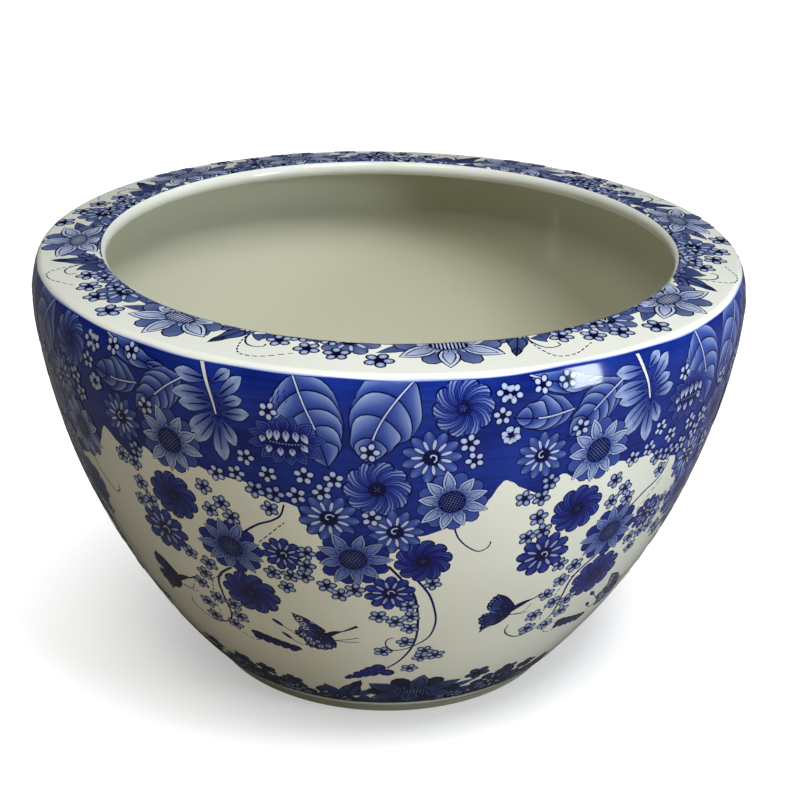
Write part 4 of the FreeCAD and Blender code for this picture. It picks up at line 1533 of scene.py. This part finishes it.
# %% Stems and tendrils
# Each stroke: control points on the sheet, width at the start and at the end, and whether it is dashed
STROKES = (
    (((10.3, 97), (11, 104), (12.5, 111), (14.5, 116), (16, 113), (16.2, 109)), 1.1, 0.8, False),
    (((-14.8, 84), (-15.5, 92), (-17, 97), (-19.5, 102), (-22, 110)), 1.2, 1.6, False),
    (((-15, 97), (-17.5, 107), (-20, 117)), 0.7, 0.7, True),
    (((0.7, 125), (3, 137), (5, 150), (6, 170), (6.2, 190), (5.5, 205), (3.5, 220), (1, 230)),
     1.8, 1.3, False),
    (((5, 135), (7.5, 150), (9, 168), (9.3, 180), (8.5, 193), (6, 202), (4, 206), (2, 207), (0.8, 203),
      (0.5, 198), (1, 194), (2, 192.5)), 1.6, 0.8, False),
    (((-26, 143), (-28.5, 151), (-29.8, 160), (-30, 175), (-30, 190), (-31, 199), (-33, 205), (-36, 208.5),
      (-38.5, 205), (-40.2, 198), (-40, 191)), 1.8, 0.9, False),
    (((-28.5, 153), (-31, 160), (-32, 172), (-33, 185), (-32.7, 195)), 0.8, 0.7, True),
    (((-30.5, 209), (-28, 216), (-26, 216)), 0.7, 0.7, True),
)


def stroke(plate, points, start_width, end_width, dashed):
    """A stem as one line, or as dashes 3 mm long with gaps of 1.5 mm."""
    path = smooth(points, 1.5 if dashed else 2.5)
    if dashed:
        for i in range(0, len(path) - 2, 3):
            plate.line(path[i:i + 3], start_width, DEEP, 0)
    else:
        widths = [start_width + (end_width - start_width) * i / len(path) for i in range(len(path))]
        plate.line(path, widths, DEEP, 0)


stems = []
for points, start_width, end_width, dashed in STROKES:
    plate = Plate()
    stroke(plate, on_sheet(points[0], points), start_width, end_width, dashed)
    stems.append((points[0], 0, plate))
print("stems:", len(stems))

# %% [markdown]
# Two of the stems end in something: a bunch of berries that gets smaller towards its tip, and a frond with
# pairs of dark leaflets. They lie on the same plate as the stems.

# %% Berries and the frond
BERRIES_AT = (-1, 235)
# Each berry: its angle and distance down, and its radius in mm
BERRIES = (((1, 236.5), 4.2), ((-0.8, 229.5), 3.9), ((-0.5, 234.5), 4.0), ((-2.4, 233), 3.8),
           ((-2.2, 238), 3.6), ((-3.6, 236.5), 3.5), ((-4, 240.5), 3.2), ((-5.2, 240), 3.0),
           ((-5.6, 243.5), 2.7), ((-6.9, 244.5), 2.4), ((-7.8, 247), 1.8))
berries = Plate()
for spot, radius in BERRIES:
    middle = on_sheet(BERRIES_AT, [spot])[0]
    berries.disc(middle, radius + 0.6, LINE, 0, sides=12)
    berries.disc(middle, radius, DEEP, 1, 0.3, sides=12)

FROND_AT = (-22.4, 211.5)
frond = Plate()
for k in range(5):
    x = -12 + 5.6 * k
    blade(frond, (x - 2, x * 0.32 - 1), 0.15, 9.0, 5.2, INKY, 0, oval, 4, 2, edge=0.6)
    blade(frond, (x, x * 0.32), 1.15 - 0.05 * k, 7.2 - 0.6 * k, 6.4, fade(INKY, 0.14), 0,
          spoon, 5, 2, edge=0.6)
frond.line([(-14, -5.4), (15, 4.4)], [3.4, 1.4], INKY, 2)
lay_drawing("stems_and_tendrils", [*stems, (BERRIES_AT, 0, berries), (FROND_AT, 0, frond)])

# %% [markdown]
# Two dark butterflies hover among the tendrils. A wing is an outline filled with ink, scalloped along its
# outer margin and lightened by veins that fan out from its root. It is filled by shrinking the outline
# towards the root, which also puts the mesh's edges where the veins run.

# %% Wings
WING_EDGE = 0.9             # mm of contour round a wing


def wing(plate, anchor, outline, centre, level, margin, veins=9):
    """A dark wing. margin is where its scalloped side starts and ends, as shares of the outline's length."""
    path = smooth(on_sheet(anchor, [*outline, outline[0]]), 0.9)[:-1]
    root = on_sheet(anchor, [centre])[0]
    scalloped = []
    for k, point in enumerate(path):
        along = (k / len(path) - margin[0]) / (margin[1] - margin[0])
        bulge = 0.09 * abs(math.sin(math.pi * veins * along)) if 0 < along < 1 else 0.0
        scalloped.append(between(root, point, 1 + bulge))
    plate.shape(scalloped, root, LINE, level)
    inner = [between(root, p, max(0.0, 1 - WING_EDGE / max(math.dist(p, root), WING_EDGE))) for p in scalloped]
    plate.shape(inner, root, INKY, level + 1)
    for k in range(veins):
        end = path[int((margin[0] + (margin[1] - margin[0]) * (k + 0.5) / veins) * len(path))]
        vein = [between(root, end, t) for t in (0.35, 0.6, 0.78)]
        plate.line(vein, [0.25, 0.5, 0.9], WASH, level + 2)
        plate.disc(between(root, end, 0.92), 0.65, TINT, level + 2, sides=6)


print("wing contour:", WING_EDGE, "mm")

# %% [markdown]
# The small butterfly is a fore wing, a hind wing, a body that swells at one end, and two feelers.

# %% The small butterfly
SMALL_AT = (-42.5, 174)
small = Plate()
wing(small, SMALL_AT, [(-44.2, 156.5), (-42.6, 160), (-41.2, 166), (-40.4, 171), (-41.5, 175), (-44.6, 173),
                       (-45.8, 167), (-45.2, 160)], (-42.2, 170), 0, (0.6, 1.0), 8)
wing(small, SMALL_AT, [(-40.6, 171), (-40.8, 180), (-42.6, 187), (-44.6, 189), (-45.6, 192.5), (-45.9, 186),
                       (-46.6, 180), (-45.8, 174)], (-42.6, 177), 4, (0.34, 0.86), 7)
body = smooth(on_sheet(SMALL_AT, [(-42.2, 181), (-40.6, 174), (-38.5, 169.5), (-36.8, 167.5), (-35.4, 164)]),
              2)
# The body swells over the first two thirds and is a plain line in front
shares = [i / len(body) for i in range(len(body))]
small.line(body, [1.2 + (3.4 * math.sin(math.pi * 1.5 * t) if t < 0.66 else 0.0) for t in shares], LINE, 8)
for feeler in (((-41, 179.5), (-38, 179.5), (-36.8, 173)), ((-41, 179.5), (-38.5, 181), (-36.6, 180.5))):
    small.line(smooth(on_sheet(SMALL_AT, feeler), 2), 0.6, DEEP, 0)
print("small butterfly:", len(small.faces), "faces")

# %% [markdown]
# The large one has spots on its wings, two feelers, and two tails that end in clubs.

# %% The large butterfly
LARGE_AT = (-12, 193)
# Each spot: its place and its radius in mm
EYES = (((-15.2, 180), 1.7), ((-14.7, 184.5), 1.6), ((-14.4, 189), 1.6), ((-12.9, 181.5), 1.1),
        ((-15.2, 196.5), 1.5), ((-14.2, 200.5), 1.5), ((-13.8, 205), 1.5), ((-12.2, 207.5), 1.4),
        ((-10.7, 206), 1.3), ((-12.6, 202.5), 1.1))
# Each feeler or tail: its path, and the width of the club at its end
FEELERS = ((((-9.4, 199), (-7, 197), (-4.6, 194)), 0), (((-9.4, 199), (-7, 199.5), (-4.5, 198.6)), 0),
           (((-16.2, 198.5), (-17.6, 195), (-19.6, 189)), 3.2),
           (((-14.8, 208.5), (-16.6, 208), (-18.4, 202.5)), 3.0))
large = Plate()
wing(large, LARGE_AT, [(-16.3, 175), (-14.2, 177.5), (-12.2, 183), (-10.6, 189.5), (-12.4, 193), (-15.7, 192),
                       (-15.2, 187), (-16, 181)], (-11.9, 189), 0, (0.6, 1.0))
wing(large, LARGE_AT, [(-10.2, 191), (-9.2, 198), (-8.9, 204), (-10.4, 209.5), (-12.6, 211), (-14.9, 208.5),
                       (-15.1, 203), (-16.6, 197.5), (-15.7, 192.5)], (-11.8, 198), 4, (0.2, 0.88), 12)
for spot, radius in EYES:
    middle = on_sheet(LARGE_AT, [spot])[0]
    large.disc(middle, radius * 1.2, PALE, 7, sides=9)
    large.disc(middle, radius * 0.7, LINE, 8, sides=7)
body = smooth(on_sheet(LARGE_AT, [(-11.6, 199), (-10.4, 194), (-9, 190), (-7.6, 188), (-6.3, 185.3),
                                  (-4.6, 181.2)]), 2)
shares = [i / len(body) for i in range(len(body))]
large.line(body, [max(1.0, 4.2 * math.sin(math.pi * 1.6 * t)) if t < 0.6 else 1.0 + 1.5 * (t - 0.6) / 0.4
                  for t in shares], LINE, 9)
for points, club in FEELERS:
    path = smooth(on_sheet(LARGE_AT, points), 1.8)
    large.line(path, 0.7, DEEP, 0)
    if club:
        before, last = path[-3], path[-1]
        heading = math.atan2(last[1] - before[1], last[0] - before[0])
        blade(large, before, heading, 9, club, DEEP, 0, oval, 5, 2)
lay_drawing("butterflies", [(SMALL_AT, 0, small), (LARGE_AT, 0, large)])

# %% [markdown]
# A second, narrow transfer runs round the rim and, the other way up, round the foot: a row of
# chrysanthemums with leaves, small flowers and curling tendrils. The lip and the bare band at the foot cut
# it off, so only the petals' tips reach out from under them. Its side that is cut off is packed with dark
# leaves, which show between the petals.

# %% The border's leaves
BORDER_LEAVES = (((12, 3), -0.42, 31, 8), ((12, 7), -0.12, 34, 8), ((40, 12), -1.1, 18, 7),
                 ((60, 14), -2.2, 19, 7), ((88, 14), -1.2, 17, 7), ((74, 12), -1.7, 15, 7))
CURLS = (
    (((-46, 6), (-47, -3.3), (-52, -11.7), (-58.3, -14.6), (-63.4, -12.9), (-62.4, -9.5)), 1.1, False),
    (((-46, 0), (-47.5, -7), (-50.4, -14.5), (-54.4, -21.5), (-59.8, -25.5), (-69.1, -25.4), (-76, -21.5),
      (-82.9, -16.6)), 0.9, True))


def packed_leaves(plate):
    """The cut side of the border: solid blue with a wavy edge, packed with short dark leaves."""
    lower = [(-68 + 3 * k, 34) for k in range(53)]
    upper = [(x, 14 + 1.8 * math.sin(k * 1.7) + 1.2 * math.sin(k * 0.6)) for k, (x, y) in enumerate(lower)]
    plate.patch([lower, [between(a, b, 0.5) for a, b in zip(lower, upper)], upper], 0.05, 0)
    for k in range(20):
        x, lean = -62 + 8.0 * k, 0.4 * (k % 3 - 1)
        blade(plate, (x, 22), lean - QUARTER, 16 - 4 * (k % 2), 9, fade(0.1, 0.5), 1, pointed, 5, 2, edge=0.6)
        blade(plate, (x + 4, 24), -lean - QUARTER, 13, 9, fade(0.1, 0.42), 3, spoon, 4, 2, edge=0.6)


def border_unit(tendrils):
    """The leaves of one border unit, 156 mm long. Its chrysanthemum goes at 0, 0. tendrils adds its curls."""
    plate = Plate()
    packed_leaves(plate)
    # A spade-shaped leaf, an oval one and three small ones
    leaf(plate, [(-41, 12), (-40.5, 1), (-34.5, -19.5)], (4, 7, 6, 3, 0), (4, 7, 6, 3, 0), bands=2,
         light=0.4, dark=0.26, level=5, stem=0.0)
    leaf(plate, [(-40, 8), (-30, 1), (-20, -5)], (2, 4, 4, 2, 0), (2, 4, 4, 2, 0), bands=2,
         light=0.55, dark=0.3, level=5, stem=0.0)
    blade(plate, (-16, -2), -2.45, 16, 7, fade(0.25, 0.5), 3, across=2, edge=0.6)
    blade(plate, (-47, 9), -2.1, 19, 8, fade(0.2, 0.44), 5, across=2, edge=0.6)
    blade(plate, (-58, 9), -1.5, 13, 8, fade(0.2, 0.4), 5, across=2, edge=0.6)
    # Long pointed leaves on the other side of the flower
    for start, heading, length, width in BORDER_LEAVES:
        blade(plate, start, heading, length, width, fade(0.25, 0.46), 5, rows=8, edge=0.6)
        plate.line([start, way(heading, length * 0.8, start)], [0.8, 0.3], LINE, 7)
    if tendrils:
        for points, width, dashed in CURLS:
            stroke(plate, points, width, width * 0.8, dashed)
    return plate


print("a border unit:", len(border_unit(True).faces), "faces")

# %% [markdown]
# Both borders are the same unit, once upright and once turned by half a circle. Their flowers are laid
# about the chrysanthemum's middle, and on the rim the strip wanders outwards at the sides, as the real one
# does.

# %% The borders
# x, y, size and layer of the flowers about the chrysanthemum's middle
BORDER_FLOWERS = {
    "chrysanthemums": ((0, -1.7, 1.0, 4),),
    "daisies": ((54, 3, 1.08, 2), (-79, 14, 0.95, 2), (82, 15, 0.95, 2), (27, 15, 0.8, 2), (-50, 19, 0.85, 2)),
    "blossoms": ((37, -19, 1.45, 3), (58.5, -13.5, 1.3, 3), (74.5, -10, 1.3, 3), (91.5, -4, 1.25, 3),
                 (64, 2, 1.1, 3), (82, 3, 1.1, 3), (70, 13, 1.0, 3), (-52, 17, 1.0, 3)),
}


def lay_border(name, paint, centre, down, turn, plates, tendrils, sheet):
    """The border unit laid at an angle and a distance down, turned upright or the other way up."""
    flip = math.cos(turn)
    radius = pot_point(down)[0]

    def spot(x, y):
        return (centre + math.degrees(flip * x / radius), down + flip * y)

    for (label, spots), plate in zip(BORDER_FLOWERS.items(), plates):
        places = []
        for x, y, size, layer in spots:
            twist = 0.05 if label == "chrysanthemums" else random.uniform(0, 6.28)
            places.append((*spot(x, y), turn + twist, size, layer))
        lay(f"{name}_{label}", flowers[plate], places, sheet, paint)
    lay(f"{name}_leaves", border_unit(tendrils), [(*spot(0, 0), turn, 1, 0)], sheet, paint)


RIM_BORDER_R = 187.8        # mm; radius of the chrysanthemums' middles on the rim
rim_border_down = (RIM_BORDER_R - RIM_EDGE_R) / math.cos(RIM_SLOPE)     # negative, as it lies inside the edge
lay_border("rim", border_ink, 9.9, rim_border_down, math.pi,
           ("chrysanthemum", "daisy_grey", "blossom_grey"), True,
           strip(47.7, 8, -3, -9.1, 0.4 - EDGE_AT, -0.5, drift=11.0))
lay_border("foot", foot_ink_and_shade, 8.0, 269.0, 0.0,
           ("chrysanthemum_dim", "daisy_dark", "blossom_dim"), False,
           strip(68.0, 6, -2, -33.0, 200.0, LINE_END))

# %% [markdown]
# The motifs and the line were only helpers. Blender would show them beside the pot, so they go.

# %% Clearing up
for helper in helpers:
    bpy.data.objects.remove(helper)
print("helpers removed:", len(helpers))
